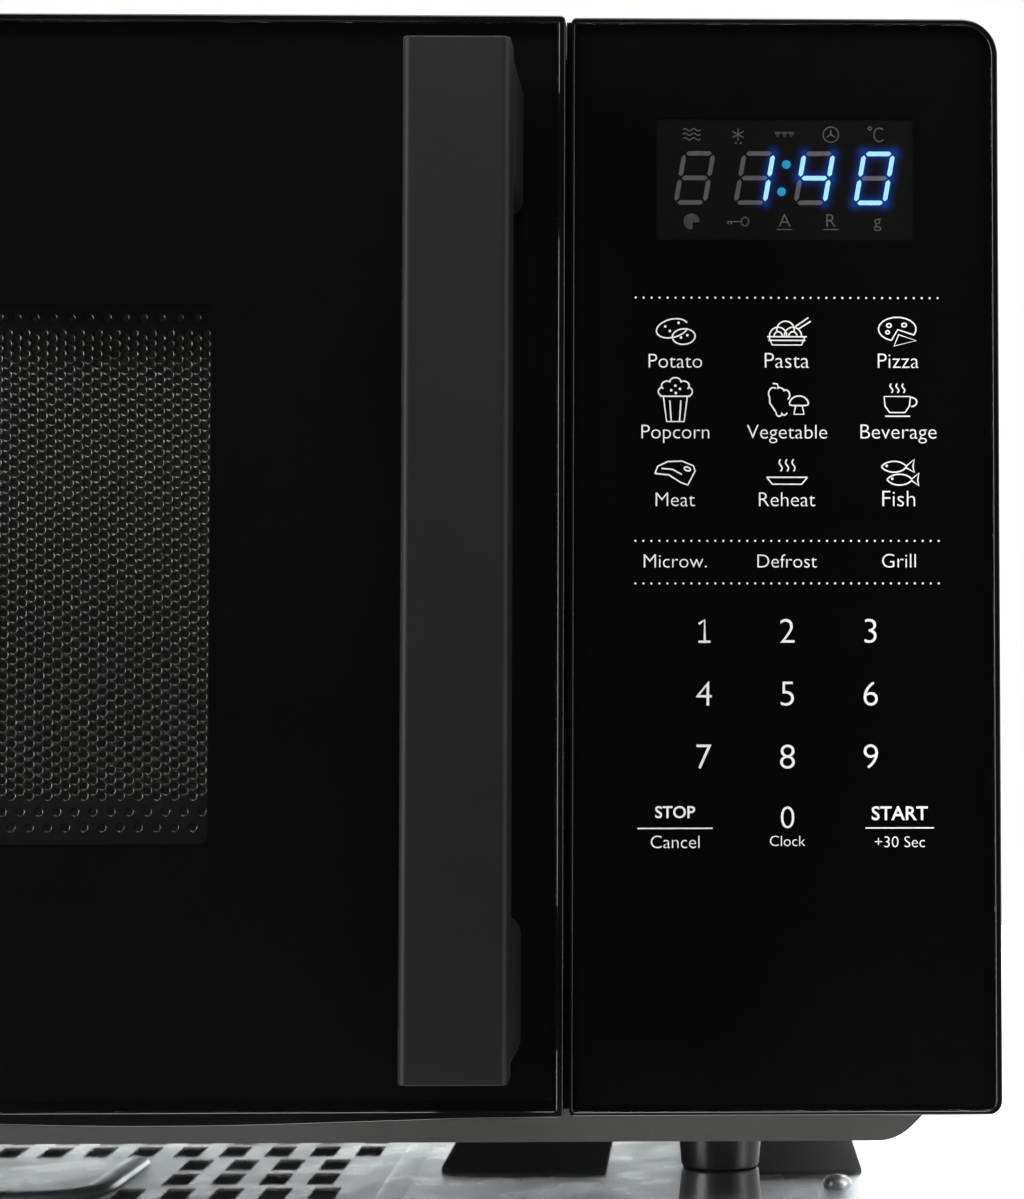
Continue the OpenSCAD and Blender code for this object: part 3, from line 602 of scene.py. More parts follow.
cavity_low, cavity_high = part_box("cavity_back")
window_x = (cavity_low.x + cavity_high.x) / 2
glass_low, glass_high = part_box("door_glass")
WINDOW_HALF = 94.3 * MM
window_z = (78.0 * MM, 194.7 * MM)
printed_film("door_print", "door",
    ((glass_low.x + 9 * MM, glass_high.x - 1 * MM), (glass_low.z + 2 * MM, glass_high.z - 2 * MM)),
    ((window_x - WINDOW_HALF, window_x + WINDOW_HALF), window_z), glass_high.y + 0.04 * MM, 0.12 * MM,
    1.5 * MM)
display_low, display_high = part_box("display_module")
pane_low, pane_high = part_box("control_glass")
LENS_SIDE, LENS_BELOW, LENS_ABOVE = 4.2 * MM, 4.7 * MM, 3.1 * MM  # from the module to its window
lens_x = (display_low.x + LENS_SIDE, display_high.x - LENS_SIDE)
lens_z = (display_low.z + LENS_BELOW, display_high.z - LENS_ABOVE)
print("door window", [round(v / MM, 1) for v in window_z], "mm high")

# %% [markdown]
# ## Handle
#
# A flat aluminium bar on two posts. Its long front edges are rounded by almost two millimetres and show
# the light of the soft boxes as a soft gradient, while its ends are cut off with a fine bright edge. A
# block and two bevels are enough: the long edges first, then a fine break on all that is still crisp.

# %% Handle bar
bar_low, bar_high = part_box("handle_bar")


def make_handle_bar():
    bm = bmesh.new()
    edges = block(bm, *zip(bar_low, bar_high))
    long_edges = [e for e in edges if along(e, 2) and middle_of(e).y < bar_low.y + 0.1 * MM]
    soften(bm, long_edges, 1.8 * MM, 6)
    soften(bm, crisp_edges(bm), 0.35 * MM)
    place(bm, "handle_grip", "handle_grey", "door", ["handle_bar"])


make_handle_bar()
print("handle bar", round((bar_high.z - bar_low.z) / MM, 1), "mm long")

# %% Handle posts
post_low, post_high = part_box("handle_posts")
POST_HEIGHT = 30.5 * MM


def make_handle_posts():
    bm = bmesh.new()
    for bottom in (post_low.z, post_high.z - POST_HEIGHT):
        part = bmesh.new()
        edges = block(part, (post_low.x, post_high.x), (post_low.y, post_high.y),
            (bottom, bottom + POST_HEIGHT))
        soften(part, [e for e in edges if along(e, 1)], 4 * MM, 6)
        soften(part, crisp_edges(part), 0.5 * MM, 2)
        join_into(bm, part)
    place(bm, "handle_feet", "handle_grey", "door", ["handle_posts"])


make_handle_posts()
print("handle posts made")

# %% [markdown]
# ## Window screen
#
# Microwaves can't pass a hole that is much smaller than their wavelength, so the window is a steel
# sheet pierced with thousands of 1.6 mm holes in a staggered field. The rims of the holes are pressed
# inwards a little, and that soft rim catches the light as a small crescent. One cell with its hole is
# made by operators and repeated: cells fill a column, two kinds of column fill the sheet, staggered by
# half a hole. Beyond the field single rows of holes stand apart, above and below.

# %% One cell of the screen
HOLE_PITCH = 2.285 * MM
COLUMN = HOLE_PITCH * math.cos(math.radians(30))
HOLE_R = 0.82 * MM
RIM_R = 1.06 * MM
RIM_DEPTH = 0.09 * MM
HOLE_SIDES = 10
sheet_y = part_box("choke_panel")[0].y
SHEET_T = 0.8 * MM


def cell_outline(bm, y, height):
    """The outline of a cell, with a point halfway up each side where the next column's cells meet."""
    w, h = COLUMN / 2, height / 2
    corners = [(-w, -h), (w, -h), (w, 0), (w, h), (-w, h), (-w, 0)]
    verts = [bm.verts.new((x, y, z)) for x, z in corners]
    return [bm.edges.new((verts[i], verts[(i + 1) % 6])) for i in range(6)]


def hole_loop(bm, y, radius):
    turn = Matrix.Translation((0, y, 0)) @ UPRIGHT
    ring = bmesh.ops.create_circle(bm, segments=HOLE_SIDES, radius=radius, matrix=turn)["verts"]
    return list({edge for vert in ring for edge in vert.link_edges})


def cell_mesh(pierced, height=HOLE_PITCH):
    """A cell of the sheet, front and back, with or without its hole."""
    bm = bmesh.new()
    front, back = cell_outline(bm, 0, height), cell_outline(bm, SHEET_T, height)
    if pierced:
        rings = [hole_loop(bm, 0, RIM_R), hole_loop(bm, RIM_DEPTH, HOLE_R),
            hole_loop(bm, SHEET_T, HOLE_R)]
        bmesh.ops.triangle_fill(bm, edges=front + rings[0], use_beauty=True)
        bmesh.ops.triangle_fill(bm, edges=back + rings[2], use_beauty=True)
        for near, far in zip(rings, rings[1:]):
            bmesh.ops.bridge_loops(bm, edges=near + far)
    else:
        bmesh.ops.contextual_create(bm, geom=front)
        bmesh.ops.contextual_create(bm, geom=back)
    return mesh_of(bm, "cell")


pierced_cell, blank_cell = cell_mesh(True), cell_mesh(False)
half_blank = cell_mesh(False, HOLE_PITCH / 2)
print("cell faces:", len(pierced_cell.polygons))

# %% Columns and sheet
ROWS = 45
COLUMNS_EACH_SIDE = 46
FIRST_ROW = 189.65 * MM
WELD = 0.004 * MM
FLAT_STEP = 0.02  # faces whose normals differ by less share one smooth shade
screen_top = FIRST_ROW + 2 * HOLE_PITCH
screen_bottom = FIRST_ROW - (ROWS + 3) * HOLE_PITCH


def column_mesh(pieces):
    """Stacks cells downwards from the top of the screen."""
    bm = bmesh.new()
    top = screen_top
    for kind, height in pieces:
        add_mesh(bm, kind, (0, sheet_y, top - height / 2), keep=True)
        top -= height
    return mesh_of(bm, "column")


def cells(kind, count=1):
    return [(kind, HOLE_PITCH / 2 if kind == half_blank else HOLE_PITCH)] * count


even = column_mesh(cells(half_blank) + cells(blank_cell) + cells(pierced_cell, ROWS) + cells(blank_cell)
    + cells(pierced_cell) + cells(blank_cell) + cells(half_blank))
odd = column_mesh(cells(pierced_cell) + cells(blank_cell) + cells(pierced_cell, ROWS)
    + cells(blank_cell, 2) + cells(pierced_cell))


def make_screen(name, first, last):
    """The part of the sheet from one column to another."""
    bm = bmesh.new()
    for column in range(first, last + 1):
        kind = odd if (column + COLUMNS_EACH_SIDE) % 2 else even
        add_mesh(bm, kind, (window_x + column * COLUMN, 0, 0), keep=True)
    bmesh.ops.remove_doubles(bm, verts=bm.verts, dist=WELD)
    rims = [e for e in bm.edges if e.is_boundary and middle_of(e).y < sheet_y + SHEET_T / 2]
    push(bm, bmesh.ops.extrude_edge_only(bm, edges=rims), (0, SHEET_T, 0))
    bmesh.ops.remove_doubles(bm, verts=bm.verts, dist=WELD)
    bmesh.ops.recalc_face_normals(bm, faces=bm.faces)
    for edge in bm.edges:
        steps = [face.normal.y for face in edge.link_faces]
        edge.smooth = max(steps) - min(steps) < FLAT_STEP
    for face in bm.faces:
        face.smooth = True
    mesh = mesh_of(bm, name)
    own(bpy.data.objects.new(name, mesh), "screen_steel", "door", ["choke_panel"])
    print(name, sum(len(p.vertices) - 2 for p in mesh.polygons), "triangles")


make_screen("window_screen_left", -COLUMNS_EACH_SIDE, -1)
make_screen("window_screen_right", 0, COLUMNS_EACH_SIDE)

# %% [markdown]
# The rest of the inner panel is the folded steel tray round the screen. It comes from the solid: the
# flat sheet is cut along the four sides of the screen, and what lies inside is taken out.

# %% Tray round the screen
def make_tray():
    bm = merged_copy("choke_panel")
    half_wide = (COLUMNS_EACH_SIDE + 0.5) * COLUMN
    sides = ((window_x - half_wide, 0), (window_x + half_wide, 0), (screen_bottom, 2), (screen_top, 2))
    for value, axis in sides:
        spot, normal = Vector(), Vector()
        spot[axis], normal[axis] = value, 1
        bmesh.ops.bisect_plane(bm, geom=bm.verts[:] + bm.edges[:] + bm.faces[:], dist=0.001 * MM,
            plane_co=spot, plane_no=normal)
    inside = [face for face in bm.faces if abs(face.calc_center_median().x - window_x) < half_wide
        and screen_bottom < face.calc_center_median().z < screen_top]
    bmesh.ops.delete(bm, geom=inside, context="FACES")
    bmesh.ops.bridge_loops(bm, edges=[e for e in bm.edges if e.is_boundary])
    return place(bm, "choke_tray", "screen_steel", "door", ["choke_panel"])


choke_tray = make_tray()
print("tray faces:", len(choke_tray.data.polygons))

# %% [markdown]
# ## Display
#
# Behind the dark glass sits a light emitting display: four slanted seven-segment digits, a colon and
# two rows of small symbols. Unlit segments show as dim grey shapes. The lit ones are nearly white with
# a blue glow round them, so the glow gets a piece of its own: a fine grid that carries, point by point,
# how close the nearest lit segment is, and shines by that amount.

# %% Display finishes
def make_display_finishes():
    face = finish("display_face", (0.0060, 0.0060, 0.0063), 0.55, Specular_IOR_Level=0.15)
    drive(face, noise(face, 700, 2), "Roughness", 0.45, 0.65)
    drive(face, noise(face, 60, 2), "Base Color", (0.0055, 0.0055, 0.0058), (0.0065, 0.0065, 0.0068))
    unlit = finish("display_unlit", (0.26, 0.26, 0.265), 0.5)
    drive(unlit, noise(unlit, 400, 2), "Base Color", (0.24, 0.24, 0.245), (0.28, 0.28, 0.285))
    for name, colour, strength in (("display_lit", (0.46, 0.93, 1.0), 1.85),
            ("display_dot", (0.010, 0.52, 0.84), 1.15)):
        lit = finish(name, (0.02, 0.02, 0.02), 0.5, Emission_Strength=strength,
            Emission_Color=(*colour, 1))
        drive(lit, noise(lit, 900, 1), "Emission Color", [0.9 * c for c in colour], colour)
    glow = bpy.data.materials.new("display_glow")
    glow.use_nodes = True
    tree = glow.node_tree
    tree.nodes.clear()
    amount = add_node(tree, "Attribute")
    amount.attribute_name = "glow"
    shine = add_node(tree, "Emission", {"Color": (0.01, 0.14, 0.95, 1)}, {"Strength": amount.outputs["Fac"]})
    clear = add_node(tree, "BsdfTransparent")
    both = add_node(tree, "AddShader", links={0: shine.outputs[0], 1: clear.outputs[0]})
    add_node(tree, "OutputMaterial", links={0: both.outputs[0]})
    finishes["display_glow"] = glow
    print("display finishes made")


make_display_finishes()

# %% Film of the panel and face of the display
printed_film("panel_print", "cabinet",
    ((pane_low.x + 1.2 * MM, pane_high.x - 2.2 * MM), (pane_low.z + 1.2 * MM, pane_high.z - 2.2 * MM)),
    (lens_x, lens_z), pane_high.y + 0.02 * MM, 0.06 * MM, 0.5 * MM)


def make_display_face():
    bm = bmesh.new()
    spare = 0.3 * MM
    edges = block(bm, (lens_x[0] - spare, lens_x[1] + spare),
        (display_low.y - 0.02 * MM, display_low.y + 0.4 * MM), (lens_z[0] - spare, lens_z[1] + spare))
    soften(bm, [e for e in edges if along(e, 1)], 0.4 * MM, 2)
    place(bm, "display_face", "display_face", "cabinet", slot="black_plastic")


# %% [markdown]
# A segment is a bar with pointed ends. All seven are laid out on an upright digit, then sheared by ten
# degrees, which is how such displays lean.

# %% Digits
DIGIT_W, DIGIT_H = 7.3 * MM, 11.8 * MM
DIGIT_PITCH = 13.1 * MM
STROKE = 1.0 * MM
SEGMENT_GAP = 0.34 * MM
SEGMENT_T = 0.04 * MM
LEAN = math.tan(math.radians(10))
display_x = sum(lens_x) / 2
display_z = sum(lens_z) / 2 - 0.15 * MM
digit_z = display_z + 0.3 * MM
segment_y = display_low.y - 0.05 * MM
LIT = ("", "bc", "bcfg", "abcdef")
SEGMENTS = {
    # letter: ends of the segment, as shares of half the digit's width and height
    "a": ((-1, 1), (1, 1)), "b": ((1, 1), (1, 0)), "c": ((1, 0), (1, -1)), "d": ((-1, -1), (1, -1)),
    "e": ((-1, 0), (-1, -1)), "f": ((-1, 1), (-1, 0)), "g": ((-1, 0), (1, 0)),
}
half_w, half_h = (DIGIT_W - STROKE) / 2, (DIGIT_H - STROKE) / 2


def digit_centre(index):
    return display_x + (index - 1.5) * DIGIT_PITCH


def segment_ends(index, letter):
    """The two ends of a segment on the leaning digit."""
    ends = []
    for sx, sz in SEGMENTS[letter]:
        x, z = sx * half_w, sz * half_h
        ends.append(Vector((digit_centre(index) + x + LEAN * z, 0, digit_z + z)))
    return ends


def add_segment(bm, index, letter):
    """A thin bar with pointed ends, sheared like its digit."""
    (ax, az), (bx, bz) = SEGMENTS[letter]
    start, end = Vector((ax * half_w, 0, az * half_h)), Vector((bx * half_w, 0, bz * half_h))
    line = (end - start).normalized()
    side = Vector((-line.z, 0, line.x)) * STROKE / 2
    gap = line * SEGMENT_GAP
    start, end = start + gap, end - gap
    tip = line * STROKE / 2
    corners = [start, start + tip + side, end - tip + side, end, end - tip - side, start + tip - side]
    verts = []
    for corner in corners:
        x = digit_centre(index) + corner.x + LEAN * corner.z
        verts.append(bm.verts.new((x, segment_y, digit_z + corner.z)))
    made = bmesh.ops.contextual_create(bm, geom=verts)["faces"]
    push(bm, bmesh.ops.extrude_face_region(bm, geom=made), (0, SEGMENT_T, 0))


def make_digits():
    for name, finish_name, wanted in (("display_digits_lit", "display_lit", True),
            ("display_digits_unlit", "display_unlit", False)):
        bm = bmesh.new()
        for index, lit in enumerate(LIT):
            for letter in SEGMENTS:
                if (letter in lit) == wanted:
                    add_segment(bm, index, letter)
        place(bm, name, finish_name, "cabinet", slot="black_plastic")
    print("segments lit:", sum(len(lit) for lit in LIT))


colon = [Vector((display_x + 0.4 * MM, 0, digit_z + 3.0 * MM)),
    Vector((display_x - 0.65 * MM, 0, digit_z - 3.0 * MM))]


def make_colon():
    bm = bmesh.new()
    for dot in colon:
        add_disc(bm, (dot.x, segment_y, dot.z), 0.95 * MM, SEGMENT_T, 24)
    place(bm, "display_colon", "display_dot", "cabinet", slot="black_plastic")


make_display_face()
make_digits()
make_colon()

# %% Glow round the lit segments
GLOW_REACH = 0.62 * MM
GLOW_STEP = 0.28 * MM
GLOW_MOST, GLOW_LEAST = 1.2, 0.05  # the sum of what all segments add is cut off at these
GLOW_POWER = 0.33
DOT_GLOW, DOT_REACH = 0.5, 1.2 * MM


def distance_to(point, start, end):
    line = end - start
    share = max(0, min(1, (point - start).dot(line) / line.length_squared))
    return (point - (start + share * line)).length


def make_glow():
    bm = bmesh.new()
    wide, high = lens_x[1] - lens_x[0], lens_z[1] - lens_z[0]
    middle = Matrix.Translation((display_x, segment_y - 0.04 * MM, display_z))
    bmesh.ops.create_grid(bm, x_segments=int(wide / GLOW_STEP), y_segments=int(high / GLOW_STEP), size=0.5,
        matrix=middle @ UPRIGHT @ Matrix.Diagonal((wide, high, 1, 1)))
    bars = [segment_ends(index, letter) for index, lit in enumerate(LIT) for letter in lit]
    layer = bm.verts.layers.float.new("glow")
    for vert in bm.verts:
        flat = Vector((vert.co.x, 0, vert.co.z))
        total = sum(math.exp(-max(0, distance_to(flat, *bar) - STROKE / 2) / GLOW_REACH) for bar in bars)
        total += DOT_GLOW * sum(math.exp(-((flat - dot).length / DOT_REACH) ** 2) for dot in colon)
        vert[layer] = GLOW_POWER * max(0, min(total, GLOW_MOST) - GLOW_LEAST)
    dark = [face for face in bm.faces if all(v[layer] == 0 for v in face.verts)]
    bmesh.ops.delete(bm, geom=dark, context="FACES")
    glow = place(bm, "display_halo", "display_glow", "cabinet", slot="black_plastic")
    print("glow faces:", len(glow.data.polygons))


make_glow()

# %% [markdown]
# ## Printed legends
#
# The keys are touch fields under the glass, marked only by their print: words in plain sans serif type,
# line drawings of food, dotted rules. Words are text objects made into thin meshes. Drawings are curves
# with a round section, pressed flat, so their lines have round ends and an even width.

# %% Ink
def make_inks():
    ink = finish("key_ink", (0.66, 0.66, 0.64), 0.45)
    drive(ink, noise(ink, 1500, 2), "Base Color", (0.62, 0.62, 0.60), (0.70, 0.70, 0.68))
    relief(ink, noise(ink, 4000, 2), 0.000004)
    dim = finish("symbol_ink", (0.26, 0.26, 0.265), 0.5)
    drive(dim, noise(dim, 1500, 2), "Base Color", (0.23, 0.23, 0.235), (0.29, 0.29, 0.295))


make_inks()
INK_T = 0.03 * MM
panel_y = pane_low.y
panel_x = (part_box("control_panel_frame")[0].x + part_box("control_panel_frame")[1].x) / 2 + 2.0 * MM

# %% Words
LIGHT, HEAVY = -0.011, 0.014  # how much a letter's outline moves outwards, as a share of its height


def text_mesh(text, width=None, height=None, weight=LIGHT):
    """The text as a flat mesh in X and Z, centred, scaled to a width or a height in mm."""
    font = bpy.data.curves.new("text", "FONT")
    font.body = text
    font.align_x = "CENTER"
    font.offset = weight
    font.resolution_u = 4
    mesh = shape_mesh(font)
    xs = [v.co.x for v in mesh.vertices]
    ys = [v.co.y for v in mesh.vertices]
    scale = width * MM / (max(xs) - min(xs)) if width else height * MM / (max(ys) - min(ys))
    mesh.transform(Matrix.Translation((-(max(xs) + min(xs)) / 2, 0, 0)))
    mesh.transform(UPRIGHT @ Matrix.Scale(scale, 4))
    return mesh


def add_words(bm, text, x, z, y=panel_y, **shape):
    """Adds a word with its base line at z; x and z are metres."""
    add_mesh(bm, text_mesh(text, **shape), (x, y, z))


def thicken(bm, depth):
    """Gives a flat print its thickness, towards the viewer."""
    bmesh.ops.remove_doubles(bm, verts=bm.verts, dist=0.002 * MM)
    push(bm, bmesh.ops.extrude_face_region(bm, geom=bm.faces[:], use_keep_orig=True), (0, -depth, 0))


COLUMN_X = [panel_x + i * 24.2 * MM for i in (-1, 0, 1)]
KEY_X = [panel_x + i * 18.0 * MM for i in (-1, 0, 1)]
FIRST_KEYS, KEY_ROW = 121.1, 13.55  # base line of the upper row and distance of the rows, in mm
LABELS = (
    # base line in mm, then three words with their widths in mm
    (180.8, (("Potato", 11.6), ("Pasta", 9.6), ("Pizza", 8.9))),
    (165.4, (("Popcorn", 14.7), ("Vegetable", 17.4), ("Beverage", 16.5))),
    (150.7, (("Meat", 8.5), ("Reheat", 12.2), ("Fish", 7.1))),
    (137.4, (("Microw.", 13.6), ("Defrost", 12.9), ("Grill", 7.3))),
)


def make_key_words():
    bm = bmesh.new()
    for base, words in LABELS:
        for x, (word, width) in zip(COLUMN_X, words):
            add_words(bm, word, x, base * MM, width=width)
    for number in range(1, 9):
        row, column = divmod(number, 3)
        add_words(bm, str(number + 1), KEY_X[column], (FIRST_KEYS - KEY_ROW * row) * MM, height=5.2)
    add_words(bm, "0", KEY_X[1], 81.2 * MM, height=4.7)
    add_words(bm, "Clock", KEY_X[1], 77.4 * MM, width=7.6)
    add_words(bm, "STOP", COLUMN_X[0], 83.5 * MM, width=8.6, weight=HEAVY)
    add_words(bm, "Cancel", COLUMN_X[0], 77.0 * MM, width=10.5)
    add_words(bm, "START", COLUMN_X[2], 83.0 * MM, width=12.1, weight=HEAVY)
    add_words(bm, "+30 Sec", COLUMN_X[2], 77.1 * MM, width=10.8)
    thicken(bm, INK_T)
    words = place(bm, "key_legends", "key_ink", "cabinet", slot="white_plastic")
    print("legend faces:", len(words.data.polygons))


make_key_words()

# %% Dotted rules and lines
DOTS_EACH_SIDE = 19
DOT_PITCH, DOT_R = 1.727 * MM, 0.24 * MM


def make_rules():
    bm = bmesh.new()
    for z in (196.1, 143.2, 134.0):
        for dot in range(-DOTS_EACH_SIDE, DOTS_EACH_SIDE + 1):
            add_disc(bm, (panel_x + dot * DOT_PITCH, panel_y - INK_T / 2, z * MM), DOT_R, INK_T, 10)
    for x, half_line in ((COLUMN_X[0], 8.1 * MM), (COLUMN_X[2], 7.4 * MM)):
        block(bm, (x - half_line, x + half_line), (panel_y - INK_T, panel_y),
            (81.1 * MM, 81.4 * MM))
    rules = place(bm, "key_rules", "key_ink", "cabinet", slot="white_plastic")
    print("rule faces:", len(rules.data.polygons))


make_rules()

# %% [markdown]
# ### Line drawings
#
# Each drawing is a short list of strokes in millimetres round its centre: ovals, arcs and lines. The
# food is drawn plainly: two potatoes, a bowl of noodles, a pizza with a slice, and so on.

# %% Strokes
def oval(cx, cz, rx, rz, start=0, end=360, turn=0, steps=20):
    """Points of an oval or a part of it, in mm; angles in degrees."""
    count = max(3, round(steps * abs(end - start) / 360))
    points = []
    for i in range(count + 1):
        a = math.radians(start + (end - start) * i / count)
        x, z, t = rx * math.cos(a), rz * math.sin(a), math.radians(turn)
        points.append((cx + x * math.cos(t) - z * math.sin(t), cz + x * math.sin(t) + z * math.cos(t)))
    return points


def wave(cx, cz, height, swing):
    """An upright wavy line, as for steam."""
    return [(cx + swing * math.sin(2 * math.pi * i / 10), cz + height * (i / 10 - 0.5)) for i in range(11)]


def add_strokes(bm, strokes, x, z, line, y=panel_y):
    """Adds strokes as flattened round lines; a stroke is a list of points in mm."""
    mesh = line_mesh([[(px * MM, 0, pz * MM) for px, pz in points] for points in strokes], line * MM / 2)
    mesh.transform(Matrix.Diagonal((1, 2 * INK_T / (line * MM), 1, 1)))
    add_mesh(bm, mesh, (x, y, z))


def dots(*centres, r=0.16):
    return [oval(cx, cz, r, r, steps=6) for cx, cz in centres]


DRAWINGS = {
    "potato": [oval(-0.7, 0.8, 3.5, 2.0, 12, 338, turn=14), oval(1.8, -1.0, 2.5, 1.7, turn=4),
        *dots((-2.2, 1.2), (-1.2, 0.2), (0.7, 2.0), (1.2, -1.2), (2.6, -0.7))],
    "pasta": [[(-4.3, -1.0), (4.3, -1.0)], [(-3.9, -1.0), (-3.2, -2.8), (3.2, -2.8), (3.9, -1.0)],
        [(-4.0, -1.8), (4.0, -1.8)], oval(-1.9, -0.9, 1.9, 2.0, 0, 180), oval(-1.9, -0.9, 0.9, 1.0, 0, 180),
        oval(1.3, -0.9, 1.9, 2.0, 0, 180), oval(1.3, -0.9, 0.9, 1.0, 0, 180),
        oval(-0.3, 0.6, 1.9, 1.8, -20, 200), [(1.8, 1.2), (4.7, 3.2)], [(2.5, 0.7), (5.2, 2.4)]],
    "pizza": [oval(-0.2, 0.7, 4.1, 2.6, -28, 250), oval(-2.0, 1.5, 0.5, 0.4), oval(1.3, 1.6, 0.5, 0.4),
        oval(-2.3, 0.0, 0.4, 0.35), [(3.5, -0.6), (-0.1, 0.6), (-1.5, -1.8)],
        [(0.1, -0.5), (3.9, -1.8), (-0.9, -3.0), (0.1, -0.5)]],
    "popcorn": [[(-2.6, 0.9), (-1.9, -4.6), (1.9, -4.6), (2.6, 0.9)], [(-3.3, 0.9), (3.3, 0.9)],
        [(-1.2, 0.0), (-0.9, -4.5)], [(1.2, 0.0), (0.9, -4.5)],
        oval(-2.6, 1.9, 1.1, 1.0, 100, 290), oval(2.6, 1.9, 1.1, 1.0, -110, 80),
        oval(-1.8, 3.2, 1.2, 1.0, 50, 225), oval(1.8, 3.2, 1.2, 1.0, -45, 130),
        oval(0, 4.0, 1.25, 0.95, 10, 170), *dots((-0.9, 2.2), (1.0, 2.5), (0.1, 1.6), (0.0, 3.2))],
    "vegetable": [
        oval(-2.9, 1.5, 1.1, 1.3, 60, 215), oval(-1.6, 1.6, 1.1, 1.2, 20, 120),
        oval(-0.3, 1.2, 0.9, 1.1, -60, 120),
        [(-3.8, 0.8), (-3.7, -0.6), (-2.9, -1.8), (-2.3, -2.7)], oval(-1.7, -2.7, 0.65, 0.75, 180, 350),
        oval(-0.6, -2.5, 0.6, 0.7, 190, 350), [(-1.8, 2.7), (-2.1, 3.6), (-3.1, 3.7)],
        oval(2.6, -0.9, 2.1, 1.9, 5, 175), [(0.5, -0.9), (1.2, -1.1), (4.0, -1.1), (4.7, -0.9)],
        [(1.9, -1.1), (1.5, -3.0), (3.7, -3.0), (3.3, -1.1)]],
    "beverage": [[(-3.1, 0.9), (-2.9, -1.2), (-1.9, -2.6), (1.4, -2.6), (2.4, -1.2), (2.6, 0.9), (-3.1, 0.9)],
        oval(2.7, -0.3, 1.3, 1.0, -85, 90), [(-2.9, -3.4), (2.5, -3.4)],
        *[wave(x, 2.7, 2.0, 0.3) for x in (-1.5, -0.2, 1.1)]],
    "meat": [[(-4.4, -0.4), (-3.8, 1.2), (-1.6, 2.2), (1.4, 2.3), (3.9, 1.3), (4.3, 0.2), (2.7, -2.9)],
        [(-4.4, -0.4), (-1.4, -0.7), (1.1, -2.3), (2.7, -2.9)],
        [(-3.0, 0.7), (-0.6, 0.5), (1.4, -0.6)], oval(2.6, 0.6, 0.7, 0.4, turn=-20)],
    "reheat": [[(-4.4, -1.2), (4.4, -1.2)], [(-4.4, -1.2), (-3.2, -2.7), (3.2, -2.7), (4.4, -1.2)],
        *[wave(x, 1.4, 2.6, 0.32) for x in (-1.4, 0, 1.4)]],
    "fish": [oval(-1.0, 0.1, 3.1, 2.2, 28, 152), oval(-1.0, 2.1, 3.1, 2.2, 208, 332),
        [(1.6, 1.2), (3.4, 2.7), (3.1, 1.1), (3.4, -0.1), (1.6, 0.9)],
        oval(0.2, -2.7, 3.1, 2.2, 28, 152), oval(0.2, -0.7, 3.1, 2.2, 208, 332),
        [(2.8, -1.6), (4.4, -0.3), (4.1, -1.8), (4.4, -3.0), (2.8, -1.9)], *dots((-2.6, 1.3), (-1.4, -1.5))],
}
FIGURE_ONE = [[(-1.15, 1.55), (0.15, 2.35), (0.15, -2.3)], [(-1.2, -2.3), (1.4, -2.3)]]
DRAWING_ROWS = (
    (188.6, ("potato", "pasta", "pizza")), (173.7, ("popcorn", "vegetable", "beverage")),
    (158.2, ("meat", "reheat", "fish")),
)


def make_drawings():
    bm = bmesh.new()
    for z, names in DRAWING_ROWS:
        for x, name in zip(COLUMN_X, names):
            add_strokes(bm, DRAWINGS[name], x, z * MM, 0.36)
    add_strokes(bm, FIGURE_ONE, KEY_X[0], 123.7 * MM, 0.58)
    drawn = place(bm, "key_drawings", "key_ink", "cabinet", slot="white_plastic")
    print("drawings:", len(DRAWINGS), "with", len(drawn.data.polygons), "faces")


make_drawings()

# %% Symbols of the display
SYMBOL_X = [display_x + i * 10.15 * MM for i in (-2, -1, 0, 1, 2)]
UPPER_Z = display_z + 9.9 * MM
LOWER_Z = display_z - 9.3 * MM


def star(count, r):
    """Lines from the centre, as for a snowflake."""
    return [[(0, 0), (r * math.sin(2 * math.pi * i / count), r * math.cos(2 * math.pi * i / count))]
        for i in range(count)]


def lying_wave(z):
    return [(-1.9 + 0.38 * i, z + 0.28 * math.sin(2 * math.pi * i / 5)) for i in range(11)]


SYMBOLS = (
    # drawing, column, height
    ([lying_wave(1.0), lying_wave(0.0), lying_wave(-1.0)], 0, UPPER_Z),
    ([*star(6, 1.4), *dots((-0.5, -1.9), (0.6, -1.9))], 1, UPPER_Z),
    ([[(-0.6 + c, 0.5), (0.6 + c, 0.5), (c, -0.5), (-0.6 + c, 0.5)] for c in (-1.5, 0, 1.5)]
        + [[(c - 0.25, 0.25), (c + 0.25, 0.25)] for c in (-1.5, 0, 1.5)], 2, UPPER_Z),
    ([oval(0, 0, 1.7, 1.7), *star(3, 1.1), *dots((0, 0.2))], 3, UPPER_Z),
    ([oval(-1.6, 1.4, 0.35, 0.35), oval(0.5, 0, 1.2, 1.5, 45, 315)], 4, UPPER_Z),
    ([oval(0, 0, r, r, 0, 270) for r in (0.4, 0.8, 1.2, 1.6)] + [[(0, 0), (1.6, 0)], [(0, 0), (0, -1.6)]],
        0, LOWER_Z),
    ([[(-2.4, 0), (0.8, 0)], oval(1.5, 0, 0.8, 0.95), [(-2.2, 0), (-2.2, -0.6)], [(-1.5, 0), (-1.5, -0.6)]],
        1, LOWER_Z),
)


def make_symbols():
    bm = bmesh.new()
    for strokes, column, z in SYMBOLS:
        add_strokes(bm, strokes, SYMBOL_X[column], z, 0.27, y=segment_y)
    for column in (2, 3):
        add_strokes(bm, [[(-1.7, -1.7), (1.7, -1.7)]], SYMBOL_X[column], LOWER_Z, 0.22, y=segment_y)
    letters = bmesh.new()
    for text, column in (("A", 2), ("R", 3), ("g", 4)):
        add_words(letters, text, SYMBOL_X[column], LOWER_Z - 1.1 * MM, height=2.7, y=segment_y)
    thicken(letters, INK_T)
    join_into(bm, letters)
    symbols = place(bm, "display_symbols", "symbol_ink", "cabinet", slot="black_plastic")
    print("symbol faces:", len(symbols.data.polygons))


